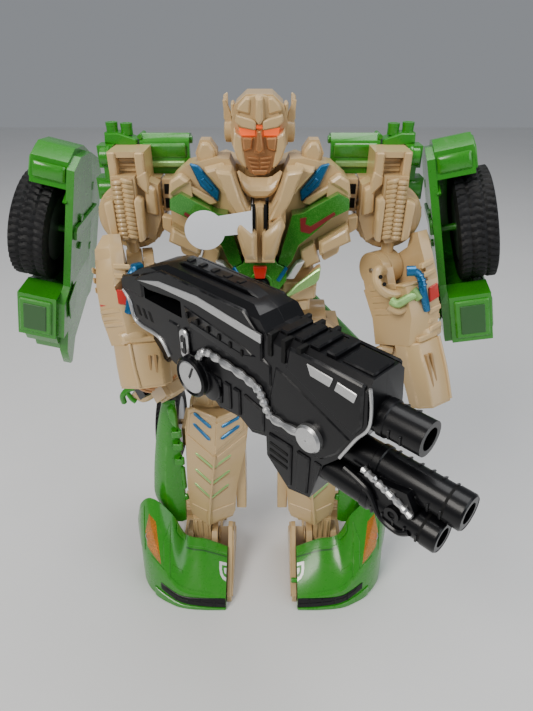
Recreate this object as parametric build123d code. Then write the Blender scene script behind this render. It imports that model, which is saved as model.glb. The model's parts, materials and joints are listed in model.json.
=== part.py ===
from build123d import *
import math
import os

# A toy robot that folds into a car. It stands on z = 0, faces -Y, and +X is its left side.
# Driving dimensions, in millimetres and degrees.
wall = 2.0  # wall of the hood shells
running_gap = 0.05  # radial gap of a pin in its bore
pin_radius = 2.0
peg_radius = 2.5  # standard 5 mm hand grip

shoulder = (38.0, 1.0, 204.0)
elbow = (51.0, -7.0, 176.0)
hip = (20.0, 0.0, 147.0)
knee = (24.0, 2.0, 98.0)
ankle = (33.0, -8.0, 15.0)
neck = (0.0, 0.0, 211.0)

fender_lean = 14.0  # the rear quarters lean out at the bottom
fender_turn = {"left": -10.0, "right": 0.0}  # each one's turn about its upright hinge
fender_pitch = {"left": 0.0, "right": 5.0}  # each one's bottom set back
fender_shift = {"left": (2.0, 0.0, 0.0), "right": (7.5, 5.0, -3.0)}
cuff_length = {"left": 26.0, "right": 17.0}
rear_wheel = (82.5, 6.0, 189.0)
rear_wheel_radius = 22.5
front_wheel = (50.0, 21.0, 72.0)
front_wheel_radius = 20.0
tyre_width = {"rear": 15.0, "front": 12.0}
tyre_out = 3.5  # the rear tyres stand out of their arches
rim_radius = 14.0
axle_radius = 1.5
fender_hinge = (-11.0, 13.0)  # in the rear quarter's own frame
hinge_barrel = 1.7
roof_hinge = (46.2, 223.6)

forearm_turn = {"left": 34.0, "right": -12.0}  # outward turn of each forearm
forearm_flex = {"left": 24.0, "right": 27.0}  # forward bend at each elbow
forearm_spread = {"left": 2.0, "right": 3.0}  # extra width on the outer side
wrist_offset = {"left": 4.2, "right": 0.0}  # the wrist stub stands outboard of the grip
fist_centre = {"left": (52.6, -22.0, 137.0), "right": (-44.5, -25.5, 138.0)}
fist_yaw = {"left": -14.0, "right": 45.0}
fist_pitch = {"left": 42.0, "right": 45.0}

gun_origin = (-41.0, -29.0, 175.0)
gun_yaw = -45.0
gun_half = 8.0  # half thickness of the gun's body
grip_top = 20.0  # where the raked grip enters the gun, along the gun

button_centre_z = 173.6
button_radius = 2.8
tab_slot_x = -2.7


def block(x0, x1, y0, y1, z0, z1):
    """A box between two corners."""
    size = Box(x1 - x0, y1 - y0, z1 - z0)
    return Pos((x0 + x1) / 2, (y0 + y1) / 2, (z0 + z1) / 2) * size


def plate(points, y0, y1):
    """An outline in X and Z, as thick as y0 to y1."""
    plane = Plane((0, y1, 0), x_dir=(1, 0, 0), z_dir=(0, -1, 0))
    return extrude(plane * make_face(Polyline(*points, close=True)), amount=y1 - y0)


def side_plate(points, x0, x1):
    """An outline in Y and Z, as thick as x0 to x1."""
    plane = Plane((x0, 0, 0), x_dir=(0, 1, 0), z_dir=(1, 0, 0))
    return extrude(plane * make_face(Polyline(*points, close=True)), amount=x1 - x0)


def rod(start, end, radius):
    """A round rod between two points."""
    line = Vector(*end) - Vector(*start)
    plane = Plane(start, z_dir=line)
    return extrude(plane * Circle(radius), amount=line.length)


def both(shape):
    """A shape and its mirror image in one group."""
    return Compound([*shape.solids(), *mirror(shape, about=Plane.YZ).solids()])


def whole(half):
    """Joins a half outline, given from the centre line outwards, with its mirror image."""
    return half + [(-x, z) for x, z in reversed(half) if x > 0]


def tower(sections):
    """A solid through level outlines: each section is a height and its X and Y points."""
    faces = [make_face(Polyline(*[(x, y, z) for x, y in points], close=True)) for z, points in sections]
    return loft(faces, ruled=True)


def across(sections):
    """A solid through upright outlines: each section is an X and its Y and Z points."""
    faces = [make_face(Polyline(*[(x, y, z) for y, z in points], close=True)) for x, points in sections]
    return loft(faces, ruled=True)


# ---------------------------------------------------------------- torso

def chest_front_shell():
    outline = whole([
        (0, 210.5), (7.5, 211.5), (11, 219.2), (16, 219.5), (26.7, 217), (32.2, 212.5),
        (33.6, 205.5), (33.6, 190.5), (22, 184.5), (24, 180), (17, 177), (12.9, 172.4), (9, 172.4), (9, 169), (0, 169),
    ])
    shell = plate(outline, -12, 0)
    bib = plate(whole([(0, 205), (4, 204), (9.2, 211), (9.4, 199.3), (6.5, 187), (0, 186)]), -22, -12)
    lapel = plate([(9.8, 217), (15.3, 217.7), (10.5, 205), (6.5, 199), (2.5, 200.2)], -21, -12)
    beak = plate([(1, 196), (7.7, 202.6), (9.2, 199.3), (5.3, 185.8), (0.9, 185.5)], -26, -22)
    collar = plate([(15.5, 218), (22, 216), (23.4, 220.5), (21.5, 225), (18, 225), (15.5, 221.5)], -8, -2)
    flank = plate([(22.4, 190), (33, 196.4), (34.6, 190.2), (23, 184.5)], -17, -12)
    shoulder_cap = plate([(25, 211.5), (29, 214), (32.6, 212), (33.4, 206.4), (24.6, 206)], -15, -12)
    shell += bib
    for raised in (lapel, beak, collar, flank, shoulder_cap):
        shell += raised + mirror(raised, about=Plane.YZ)
    shell -= block(-16, 16, -9.5, 0, 178, 208) + block(-8, 8, -9.5, 0, 170.2, 178)
    for side in (-1, 1):
        slot_x = side * -tab_slot_x
        shell -= block(slot_x - 0.6, slot_x + 0.6, -28, -9, 196.3, 205.7)
    shell -= rod((0, -13, button_centre_z), (0, -5, button_centre_z), button_radius + running_gap + 0.05)
    shell -= rod((0, 0, 205), (0, 0, 213), 4 + running_gap)
    for x, z in screw_places():
        shell -= rod((x, -7, z), (x, 0, z), 1.1)
    return shell


def screw_places():
    return [(-22, 206), (22, 206), (-19, 187), (19, 187)]


def chest_back_shell():
    outline = whole([(0, 212), (14, 217), (23, 214), (27, 206), (27, 190), (21, 178), (21, 172.4), (0, 172.4)])
    shell = plate(outline, 0, 17)
    shell -= block(-16, 16, 0, 14.5, 175, 208)
    shell -= block(-14, 14, 14, 18, 188, 207)
    shell -= rod((0, 0, 205), (0, 0, 218), 4 + running_gap)
    for side in (-1, 1):
        shell += block(side * 10 - 0.6, side * 10 + 0.6, 1, 14.5, 194.5, 209)
    for x, z in screw_places():
        shell -= rod((x, 0, z), (x, 15, z), 1.1)
        shell -= rod((x, 15, z), (x, 18, z), 2.2)
    return shell


def case_screws():
    screws = []
    for x, z in screw_places():
        screws.append(rod((x, -6.5, z), (x, 15, z), 1.1) + rod((x, 15, z), (x, 16.4, z), 2.2))
    return Compound([screw.solid() for screw in screws])


def chest_flares(shell):
    outline = [
        (28.5, 208.7), (32.4, 206.7), (32.7, 202.9), (26.1, 199.6), (19.2, 193.2),
        (14.6, 189.4), (12.1, 182.6), (10.3, 180.6), (6.9, 182.3), (11.9, 200.9), (15.8, 201.6),
    ]
    flare = plate(outline, -19, -12)
    flare -= plate([(23, 184), (23, 190.3), (33, 196.8), (36, 190)], -17.2, -12)
    flare -= plate([(24, 206.3), (34, 206.3), (34, 214), (24, 214)], -15.2, -12)
    return both((flare - shell).solid())


def abdomen_plate():
    upper = plate(whole([(0, 185.2), (5.2, 185.2), (6.6, 182.2), (10.2, 180.4), (10.2, 175.4), (9, 172.2), (0, 172.2)]), -14, -12)
    shield = plate(whole([
        (0, 185.2), (5.2, 185.2), (6.6, 182.2), (10.2, 180.4), (10.2, 175.4), (4.6, 167.8), (4.4, 163), (0, 163),
    ]), -20, -14)
    body = upper + shield
    body -= rod((0, -21, button_centre_z), (0, -12, button_centre_z), button_radius + running_gap + 0.05)
    return body


def waist_block():
    outline = whole([
        (0, 168.8), (9.2, 168.8), (9.2, 172), (22.8, 172), (22.6, 164.9), (20.3, 164.9), (20.3, 159.6), (0, 158.2),
    ])
    body = plate(outline, -14, 12)
    fin = plate([(10.6, 166), (22.1, 179.5), (23.7, 180.4), (23.2, 175.4), (21.9, 173.2)], -18, -14)
    body += fin + mirror(fin, about=Plane.YZ)
    body += block(-12, 12, 12, 20, 160, 170)
    body -= rod((-15, 23, 165), (15, 23, 165), 4.2)
    return body


def pelvis_block():
    body = plate(whole([(0, 158.2), (12, 158.2), (12, 141), (7, 133), (0, 133)]), -11, 9)
    body += plate(whole([(0, 156), (4, 153), (5, 146), (2.5, 138), (0, 136)]), -15, -11)
    for side in (-1, 1):
        body += rod((side * 11, 0, hip[2]), (side * 29, 0, hip[2]), 3)
    return body


def shoulder_links():
    link = block(33.6, 37.6, -3, 6, 197.7, 210)
    link += rod((37, shoulder[1], shoulder[2]), (49, shoulder[1], shoulder[2]), 2.5)
    return both(link)


def battery_door():
    body = block(-13.8, 13.8, 14.7, 17, 188.2, 206.8)
    return body + block(-5, 5, 17, 17.6, 203, 205)


def button_cells():
    cells = [rod((x, 4, 200.8), (x + 5.2, 4, 200.8), 5.8) for x in (-8.1, -2.5, 2.9)]
    return Compound([cell.solid() for cell in cells])


def battery_contacts():
    return both(block(8.2, 9.3, -1, 9, 196, 206))


def sound_board():
    body = block(-13, 13, -5.6, -4, 178.4, 190) + block(-7, 7, -5.6, -4, 171, 178.4)
    body += block(-3.5, 3.5, -7.4, -5.6, 170.8, 177)
    return body + block(6, 11, -4, -2.4, 180, 185)


def speaker():
    return rod((0, 8.6, 184), (0, 12.6, 184), 8) + rod((0, 7, 184), (0, 8.6, 184), 4)


def light_diode():
    return rod((6, -5.5, 198), (6, -5.5, 205), 1.5) + rod((6, -5.5, 197), (6, -5.5, 198), 2)


def push_button():
    cap = rod((0, -21.6, button_centre_z), (0, -11, button_centre_z), button_radius)
    return cap + rod((0, -11, button_centre_z), (0, -9.4, button_centre_z), 1.2)


def button_spring():
    """A closed stand-in tube for the small coil that pushes the button out."""
    tube = rod((0, -9.3, button_centre_z), (0, -7.6, button_centre_z), 2.2)
    return tube - rod((0, -11, button_centre_z), (0, -7, button_centre_z), 1.5)


def pull_tab():
    disc_x = -19.5
    centre_z = 199.5
    disc = rod((disc_x, -26.8, centre_z - 1.7), (disc_x, -26.5, centre_z - 1.7), 7.2)
    tail = plate([(-16, centre_z - 4), (-2.6, centre_z - 2.6), (-2.6, centre_z + 5.4), (-15, centre_z + 3.4)], -26.8, -26.5)
    strip = block(-2.8, -2.6, -26.8, 7, centre_z - 2.6, centre_z + 5.4)
    return disc + tail + strip


def back_panel():
    left = plate([
        (0, 158), (16, 158), (30.6, 143), (62, 109), (65.8, 121), (69, 120), (66, 101), (58, 101), (25, 136), (0, 148),
    ], 25, 28.5)
    right = plate([
        (0, 158), (-16, 158), (-30.6, 142), (-62, 106), (-70, 110), (-74, 107), (-72, 93), (-60, 93.5), (-25, 133), (0, 148),
    ], 25, 28.5)
    hinge = rod((-11, 23, 165), (11, 23, 165), 3.8)
    stem = block(-9, 9, 24, 28.5, 156, 166)
    return left + right + hinge + stem


# ---------------------------------------------------------------- head

def helmet():
    outline = whole([(0, 240), (4.6, 240), (8.6, 236.6), (10.2, 230), (10, 224), (7.4, 217.6), (4.4, 214.4), (0, 214.4)])
    body = plate(outline, -9, 8)
    body += plate(whole([(0, 240), (4.2, 239), (6.8, 234), (7.4, 230.4), (0, 230.4)]), -11.2, -9)
    for side in (-1, 1):
        body += rod((side * 9.5, -1, 227), (side * 12, -1, 227), 4)
        fin = plate([(10, 228), (12.4, 229), (13.2, 237.4), (12.2, 237.4), (10.4, 233)], -3, 1)
        body += fin if side > 0 else mirror(fin, about=Plane.YZ)
    body += rod((0, 0, 209), (0, 0, 215), 4)
    return body


def face_plate():
    outline = whole([(0, 226.6), (6.8, 226.6), (6.2, 220), (3.6, 214.2), (0, 213.6)])
    body = plate(outline, -12, -9)
    return body + plate(whole([(0, 226.6), (1.2, 226.4), (1.8, 221.4), (0, 221)]), -13.4, -12)


def eye_lens():
    return plate(whole([(0, 230.2), (7.2, 230.2), (6.8, 226.8), (0, 226.8)]), -11, -9)


# ---------------------------------------------------------------- arms, made as the left one

def upper_arm_front():
    bracket = block(42, 55.5, -9, 0, 211, 221)
    bracket -= block(45.5, 52.5, -10, -5, 212.6, 219)
    panel = plate([(45.8, 213), (54.6, 213), (56, 189.4), (48.6, 187.8), (46, 192)], -12.5, 0)
    outer = plate([(54.6, 205), (59.6, 204), (60.4, 193), (56, 190)], -10, 0)
    inner = plate([(38.4, 196), (38.4, 209), (45.8, 212), (46.2, 190), (42, 187)], -8, 0)
    disc = rod((50.5, -5, 196), (50.5, 0, 196), 12.4) - block(30, 70, -6, 1, 201, 220)
    body = bracket + panel + outer + inner + disc
    body -= rod((elbow[0], elbow[1], 170), (elbow[0], elbow[1], 195.2), 2.5 + running_gap)
    return body - rod((30, shoulder[1], shoulder[2]), (49.2, shoulder[1], shoulder[2]), 2.5 + running_gap)


def upper_arm_back():
    disc = rod((50.5, 0, 196), (50.5, 8, 196), 12.4) - block(30, 70, -1, 9, 201, 220)
    body = disc + block(42, 55.5, 0, 5.4, 196, 221) + block(38.4, 46, 0, 7, 196, 210)
    return body - rod((30, shoulder[1], shoulder[2]), (49.2, shoulder[1], shoulder[2]), 2.5 + running_gap)


def roof_beam():
    beam = plate([(47.2, 222.6), (54, 225.2), (59.4, 225.2), (60, 217), (57, 213), (47.2, 213)], 5.8, 12)
    beam += rod((51.4, 9, 224), (51.4, 9, 228), 2.2) + rod((57, 9, 225), (57, 9, 228.4), 2.2)
    upper = block(55.7, 61.6, 0.4, 8, 213.4, 221.4)
    lower = block(55.7, 63.6, 0.4, 8, 201.4, 209.6)
    return beam + upper + lower + block(56.5, 60, 0.4, 8, 209, 214)


def fender_place(side):
    """The rear quarter's own frame: X along the axle, Z up the panel, origin at the wheel's centre."""
    place = Pos(*fender_shift[side]) * Pos(*rear_wheel) * Rot(0, 0, fender_turn[side]) * Rot(0, -fender_lean, 0)
    return place * Pos(0, 0, 28) * Rot(fender_pitch[side], 0, 0) * Pos(0, 0, -28)


def fender(side):
    arch = rear_wheel_radius + 1.2
    skin = side_plate([
        (-14, 32), (-6, 35), (8, 33), (20, 27), (27, 18), (27, -30), (20, -42), (-22, -42), (-22, -24), (-15, -19),
    ], -12.6, -9.6)
    top = side_plate([(-14, 24), (-12, 34), (-4, 37), (8, 35), (20, 28), (27, 20), (27, 14)], -9.6, 4.4)
    box = side_plate([(-24, -42), (-24, -21), (27, -20), (27, -30), (20, -42)], -9.6, 6.4)
    back = side_plate([(27, 20), (27, -24), (24, -24), (24, 20)], -9.6, 6.0)
    shell = skin + top + box + back + bumper_corner(side)
    shell -= rod((-9.6, 0, 0), (20, 0, 0), arch)
    shell -= block(-6.6, 4.4, -25, -21.5, -39, -24)
    shell += rod((fender_hinge[0], fender_hinge[1], -18), (fender_hinge[0], fender_hinge[1], 18), hinge_barrel)
    return shell + rod((-11, 0, 0), (tyre_out + 5, 0, 0), axle_radius)


def bumper_corner(side):
    """The bumper's end below the quarter: a short lip on the left, two steps and a fin on the right."""
    if side == "left":
        return side_plate([(-14, -42), (-12, -44.5), (14, -44.5), (18, -42)], -8, 4)
    steps = side_plate([(-22, -42), (-18, -49), (6, -49), (18, -42)], -9, 5)
    steps += side_plate([(-17, -49), (-15, -54), (4, -54), (6, -49)], -9, 2)
    return steps + side_plate([(-16, -42), (-16, -54), (-10, -66), (-7, -67), (-4, -54), (14, -42)], -12.6, -9)


def tyre(radius, width):
    ring = Cylinder(radius, width) - Cylinder(rim_radius, width + 1)
    ring = chamfer(ring.edges().filter_by(GeomType.CIRCLE).group_by(SortBy.RADIUS)[-1], 1.2)
    return ring


def hub(width):
    rim = Cylinder(rim_radius, width - 1) - Pos(0, 0, (width - 1) / 2) * Cylinder(rim_radius - 2.2, 5)
    rim += Pos(0, 0, (width - 1) / 2 - 3) * Cylinder(4, 4)
    return rim - Cylinder(axle_radius + running_gap, width + 8)


def roof_flap():
    body = side_plate([(6.2, 212), (5.8, 215.4), (5.8, 222), (9, 224.6), (15, 223.6), (15.4, 212)], 27.4, 46.4)
    body -= block(26, 44.6, 8.4, 17, 210, 220.6)
    return body + rod((roof_hinge[0], 6, roof_hinge[1]), (roof_hinge[0], 15, roof_hinge[1]), 0.9)


def elbow_block():
    disc = rod((-3, 0, 0), (3, 0, 0), 7.1)
    stem = rod((0, 0, 0), (0, 0, 19), 2.5)
    return disc + stem - rod((-4, 0, 0), (4, 0, 0), pin_radius + running_gap)


def forearm(side):
    more = forearm_spread[side]
    lower = tower([
        (-7.8, [(-7.4, -17), (8, -19), (12.2 + more, -12), (10.8 + more, 4), (5, 7), (-7.4, 7)]),
        (-20, [(-7.4, -17), (6, -19), (11.8 + more, -10), (10.4 + more, 2), (5, 5), (-7.4, 5)]),
        (-31, [(-8.6, -14), (5, -16), (11 + more / 2, -9), (10 + more / 2, 2), (5, 4), (-8.6, 5)]),
    ])
    upper = tower([
        (-7.8, [(3.4, -18.2), (8, -19), (12.2 + more, -12), (10.8 + more, 3), (6, 5), (3.4, 5)]),
        (2, [(3.4, -18), (8, -18.6), (11.4 + more, -12), (11.4 + more, -3), (6, 1), (3.4, 1)]),
        (6, [(3.4, -17.4), (8, -18), (10.8 + more, -14.4), (10.8 + more, -12), (6, -10.6), (3.4, -10.6)]),
        (11, [(3.8, -16.8), (8, -17.6), (10.2, -15.6), (10.2, -14.4), (6, -13.4), (3.8, -13.4)]),
    ])
    inner = rod((-7.4, 0, 0), (-3.4, 0, 0), 7.2) + block(-7.4, -3.4, -8, 6, -9, 0)
    pin = rod((-7.4, 0, 0), (5, 0, 0), pin_radius)
    body = lower + upper + inner + pin + cuff(cuff_length[side])
    centre = wrist_in_forearm(side)
    return body - rod((centre.X, centre.Y, -31), (centre.X, centre.Y, -23.5), 2.5 + running_gap)


def cuff(length):
    """The flared guard that stands over the back of the hand."""
    return tower([
        (-31, [
            (-8.6, -6.4), (-8.6, -12), (-5.4, -16), (5, -17), (11.4, -9.4), (11.4, 1),
            (9.4, 1), (9.4, -8), (4, -14.6), (-4.6, -13.6), (-6.6, -11), (-6.6, -6.4),
        ]),
        (-31 - length, [
            (-9.4, -9.4), (-9.4, -14), (-6.4, -19), (3, -19.6), (10.4, -11.4), (10.4, -4),
            (8.4, -4), (8.4, -10.6), (2, -17.4), (-5.4, -16.6), (-7.4, -13), (-7.4, -9.4),
        ]),
    ])


def fist_in_forearm(side):
    """The grip centre, measured in the left-handed forearm frame."""
    x, y, z = fist_centre[side]
    centre = Pos(x if side == "left" else -x, y, z)
    return (arm_place(side).inverse() * centre).position


def wrist_in_forearm(side):
    """The wrist stub's axis, in the same frame."""
    centre = fist_in_forearm(side)
    return Vector(centre.X + wrist_offset[side], centre.Y, centre.Z)


def fist():
    """Palm and curled fingers round the grip bore; the bore runs along Y."""
    ring = rod((0, -7, 0), (0, 7, 0), 7.6)
    knuckles = block(-6.5, 4, -6, 6, -13, 0)
    return ring + knuckles


def wrist_stub(side):
    """The swivel stub between fist and forearm, in the forearm's frame."""
    centre = wrist_in_forearm(side)
    low = (centre.X, centre.Y, centre.Z + 4)
    return rod(low, (centre.X, centre.Y, -31.2), 3.6) + rod(low, (centre.X, centre.Y, -24), 2.5)


def arm_place(side):
    """The forearm's own frame: origin at the elbow pin, X outboard along it, Z up the forearm."""
    turn = forearm_turn[side]
    return Pos(*elbow) * Rot(0, 0, turn) * Rot(-forearm_flex[side], 0, 0)


# ---------------------------------------------------------------- gun: X along the barrels, -Y is the near side

def gun_place():
    return Pos(*gun_origin) * Rot(0, 0, gun_yaw)


def gun_outline():
    return [
        (-6, 6), (-6.6, 1.3), (-2, -1.2), (0.3, -8.7), (4.6, -10), (15.4, -10.6), (21.2, -17.3), (30, -20),
        (38, -22), (44, -22), (47, -24.4), (57.6, -23), (63, -26), (69.4, -24), (69.8, -31.4), (79.4, -39.5),
        (88, -37), (92.2, -21), (97.4, -15), (101.9, -5), (105, -0.5), (103.7, 12.9), (69, 13.5),
        (66, 17), (62, 18.6), (21, 18.6), (8, 14),
    ]


def gun_body():
    body = plate(gun_outline(), -gun_half, gun_half)
    edge = body.edges().filter_by(GeomType.LINE)
    long_edges = [e for e in edge if e.length > 20 and abs(abs(e.center().Y) - gun_half) < 0.01 and e.center().Z > 10]
    body = chamfer(long_edges, 2.5)
    body -= block(8.6, 30, -gun_half - 1, gun_half + 1, 3, 9)
    for axis_z, radius in ((-0.3, 5), (-15.7, 4.85)):
        body -= rod((90, 0, axis_z), (110, 0, axis_z), radius)
    body -= rod((86, -3.5, -24.5), (110, -3.5, -24.5), 4.4)
    return body


def gun_grip():
    """The raked grip: a round post through the fist and a wide end below it."""
    x0, z0 = grip_low()
    post = rod((x0, 0, z0), (grip_top, 0, z0 + grip_top - x0), peg_radius)
    neck_wedge = plate([(6, -10), (15.4, -10.6), (19, -15), (13, -22), (6, -16)], -5, 5)
    end = Pos(x0, 0, z0) * Rot(0, 45, 0) * Box(15, 10, 7)
    return post + neck_wedge + end


def gun_relief():
    """The room that the gun's butt and grip need in front of the right forearm."""
    butt = plate([(-9, 9), (-9.6, 0), (-4.5, -3.5), (-2.5, -11.5), (6, -13), (16, -13.5), (16, 9)], -gun_half - 1.5, gun_half + 1.5)
    x0, z0 = grip_low()
    return butt + rod((x0, 0, z0), (grip_top, 0, z0 + grip_top - x0), peg_radius + 1.5)


def grip_low():
    """The grip's lower end, on the bore's line through the right fist."""
    centre = (gun_place().inverse() * Pos(*fist_centre["right"])).position
    reach = 13.5 * math.sqrt(0.5)
    return centre.X - reach, centre.Z - reach


def gun_halves():
    body = gun_body() + gun_grip()
    near = body & block(-60, 160, -40, 0, -80, 60)
    far = body & block(-60, 160, 0, 40, -80, 60)
    dial = rod((37, -gun_half, -15.5), (37, -gun_half - 3.6, -15.5), 7) + rod((87.5, -gun_half, -13), (87.5, -gun_half - 1.6, -13), 4)
    return near + dial, far


def gun_barrels():
    upper = rod((91, 0, -0.3), (118, 0, -0.3), 5) - rod((112, 0, -0.3), (119, 0, -0.3), 3.2)
    lower = rod((91, 0, -15.7), (131.5, 0, -15.7), 4.85) - rod((126, 0, -15.7), (132, 0, -15.7), 3)
    small = rod((88, -3.5, -24.5), (128, -3.5, -24.5), 4.4) - rod((122, -3.5, -24.5), (129, -3.5, -24.5), 2.8)
    link = plate([(103, -17), (118, -14), (121, -19), (118, -24), (103, -25)], -7, -3)
    return Compound([upper.solid(), (lower + small + link).solid()])


# ---------------------------------------------------------------- legs, made as the left one

def thigh():
    body = tower([
        (106, [(17.5, -8), (24, -10.5), (32.5, -8), (32.5, 9), (17.5, 9)]),
        (120, [(15, -8), (21, -10), (29, -8), (29, 9), (15, 9)]),
        (138, [(13.2, -8), (19, -9.5), (27, -8), (27, 9), (13.2, 9)]),
    ])
    body += rod((13.2, 0, hip[2]), (28, 0, hip[2]), 9.6)
    cover = plate([(14, 150.5), (18.4, 153), (27.3, 153), (33, 149), (34.7, 144), (33, 138.5), (27, 133.5), (15, 135)], -11.5, -7)
    body += cover + block(26, 34, -8, 6, 139, 149)
    body += rod((20, knee[1], knee[2]), (28, knee[1], knee[2]), 7.5) + block(20, 28, -5, 9, 98, 107)
    body -= rod((12, 0, hip[2]), (29.4, 0, hip[2]), 3 + running_gap)
    return body - rod((19, knee[1], knee[2]), (29, knee[1], knee[2]), pin_radius + running_gap)


def shin():
    sections = [
        (31, [(16, -10), (28.2, -16.5), (37.6, -10), (37.6, 8), (16, 8)]),
        (37, [(14.3, -11), (27.7, -17.5), (38.4, -11), (38.4, 9), (14.3, 9)]),
        (56, [(12.8, -11), (25.8, -18), (38.8, -11), (38.8, 10), (12.8, 10)]),
        (82, [(7.8, -12), (22.6, -18.5), (37.2, -12), (37.2, 10), (7.8, 10)]),
        (95, [(6.4, -12), (21.8, -18.5), (36.8, -12), (36.8, 10), (6.4, 10)]),
        (104, [(8.8, -12), (21.2, -17), (34.8, -12), (34.8, -8.6), (8.8, -8.6)]),
    ]
    body = tower(sections[:5]) + tower([(95, sections[4][1][:3] + [(36.8, -8.6), (6.4, -8.6)]), sections[5]])
    clevis = block(19.6, 28.4, -6.4, 12, 88, 106) + rod((19.6, knee[1], knee[2]), (28.4, knee[1], knee[2]), 9)
    body -= clevis
    body -= block(6, 19.7, -8.6, 12, 96.5, 106)
    body -= block(28.3, 38, -8.6, 12, 96.5, 106)
    body += rod((14, knee[1], knee[2]), (34, knee[1], knee[2]), pin_radius)
    body += block(14, 19.6, -2, 6, 94, 102) + block(28.4, 34, -2, 6, 94, 102)
    body += rod((36, front_wheel[1], front_wheel[2]), (55, front_wheel[1], front_wheel[2]), axle_radius)
    body += block(32, 42.6, 8, 26, 66, 78)
    body += block(11.2, 14, -4, 3, 46, 60)
    post = block(28.4, 37.6, -12.6, -3, ankle[2], 32) + rod((28.4, ankle[1], ankle[2]), (37.6, ankle[1], ankle[2]), 5.2)
    return body + post - rod((27, ankle[1], ankle[2]), (39, ankle[1], ankle[2]), pin_radius + running_gap)


def door_hinge():
    return (40.4, -10.5)


def door_panel():
    x, y = door_hinge()
    knuckle = 1.4
    sections = [
        (28, [(41.5, -10.5), (46, -12), (47, -9.6), (41.5, -8)]),
        (44, [(41, -9.4), (50, -12.4), (57.8, -7), (56.4, -4.6), (50, -9.4), (41, -6.6)]),
        (56, [(41, -9), (50, -11.6), (57.2, -6), (55.4, -3.6), (49.6, -8.6), (41, -6.4)]),
        (92, [(41, -8.4), (46, -10), (51.6, -6), (50, -3.6), (45.6, -7), (41, -5.8)]),
        (107, [(41.4, -8), (44.6, -9), (47.8, -6.4), (46.6, -4.4), (44.4, -6.2), (41.4, -5.4)]),
    ]
    low = sections[0][1]
    sections[0] = (28, [low[0], low[1], (47.5, -10.5), (47.3, -9), low[2], low[3]])
    body = tower(sections)
    for z in (70, 88):
        body += rod((x, y, z), (x, y, z + 4), knuckle) + block(x, x + 3.4, y - knuckle, y + knuckle + 1.4, z, z + 4)
    return body


def foot_frame():
    sole = block(24, 46, -36, 26, 0, 4)
    cheek_in = side_plate([(-18, 3), (-18, 14), (-12, 21), (-4, 21), (2, 14), (4, 3)], 24.6, 28)
    cheek_out = mirror(cheek_in, about=Plane((33, 0, 0), z_dir=(1, 0, 0)))
    inner = side_plate([(-41, 0), (-41, 5), (-21, 17.6), (-14, 27), (-10, 27), (-8, 12), (6, 8), (6, 0)], 16, 18.4)
    heel = block(22, 48, 14, 30, 0, 9)
    pin = rod((24.6, ankle[1], ankle[2]), (41.4, ankle[1], ankle[2]), pin_radius)
    body = sole + cheek_in + cheek_out + inner + heel + pin
    return body + block(16, 25, -36, 6, 0, 4)


def hood_sections():
    """The front quarter's shell: X, then toe, nose and rear edge in Y and Z."""
    return [
        (18.6, (-45, 0), (-44, 8), (-21, 19.5)),
        (30, (-45, 0), (-43.6, 9), (-20.5, 25)),
        (41, (-44, 0), (-42, 10.4), (-20, 28.4)),
        (47, (-42, 0), (-39, 13), (-18, 41)),
        (57, (-36, 0), (-32, 20), (-16, 51)),
        (64, (-27, 0), (-24, 20), (-14, 45)),
        (67.4, (-15, 0), (-14.5, 14), (-12.5, 32)),
    ]


def hood_shell():
    sections = []
    for x, toe, nose, rear in hood_sections():
        inner_nose = (nose[0] + wall * 1.2, nose[1] - wall)
        outline = [toe, nose, rear, (rear[0] + 1.6, rear[1] - 1.6), inner_nose, (toe[0] + wall, toe[1])]
        sections.append((x, outline))
    return across(sections)


def headlight_cutter():
    return plate([(52.4, 21), (55, 41), (58.6, 44), (61.2, 34), (60, 27)], -50, 10)


# ---------------------------------------------------------------- assembly

def mirrored(shape):
    return mirror(shape, about=Plane.YZ)


def arm_nodes(side):
    """The parts of one arm, in place."""
    flip = mirrored if side == "right" else (lambda shape: shape)
    rear_place = fender_place(side)
    turn_wheel = rear_place * Rot(0, 90, 0)
    forearm_frame = arm_place(side)
    forearm_body = flip(forearm_frame * forearm(side))
    if side == "right":
        forearm_body -= gun_place() * gun_relief()
    centre = fist_centre[side]
    fist_place = Pos(*centre) * Rot(0, 0, fist_yaw[side]) * Rot(-fist_pitch[side], 0, 0)
    fist_body = fist_place * (fist() if side == "left" else mirrored(fist()))
    fist_body += flip(forearm_frame * wrist_stub(side))
    fist_body -= fist_place * rod((0, -12, 0), (0, 12, 0), peg_radius + running_gap)
    return {
        "upper_arm_front": flip(upper_arm_front()),
        "upper_arm_back": flip(upper_arm_back()),
        "roof_beam": flip(roof_beam()),
        "roof_flap": flip(roof_flap()),
        "fender": flip(rear_place * fender(side)),
        "rear_tyre": flip(turn_wheel * Pos(0, 0, tyre_out) * tyre(rear_wheel_radius, tyre_width["rear"])),
        "rear_hub": flip(turn_wheel * Pos(0, 0, tyre_out) * hub(tyre_width["rear"])),
        "elbow_block": flip(Pos(*elbow) * Rot(0, 0, forearm_turn[side]) * elbow_block()),
        "forearm": forearm_body,
        "fist": fist_body,
    }


def leg_nodes(side):
    """The parts of one leg, in place."""
    flip = mirrored if side == "right" else (lambda shape: shape)
    wheel_place = Pos(*front_wheel) * Rot(0, 90, 0)
    shell = hood_shell()
    cutter = headlight_cutter()
    return {
        "thigh": flip(thigh()),
        "shin": flip(shin()),
        "door_panel": flip(door_panel()),
        "front_tyre": flip(wheel_place * tyre(front_wheel_radius, tyre_width["front"])),
        "front_hub": flip(wheel_place * hub(tyre_width["front"])),
        "foot_frame": flip(foot_frame()),
        "hood": flip(shell - cutter),
        "headlight": flip(shell & cutter),
    }


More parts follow.
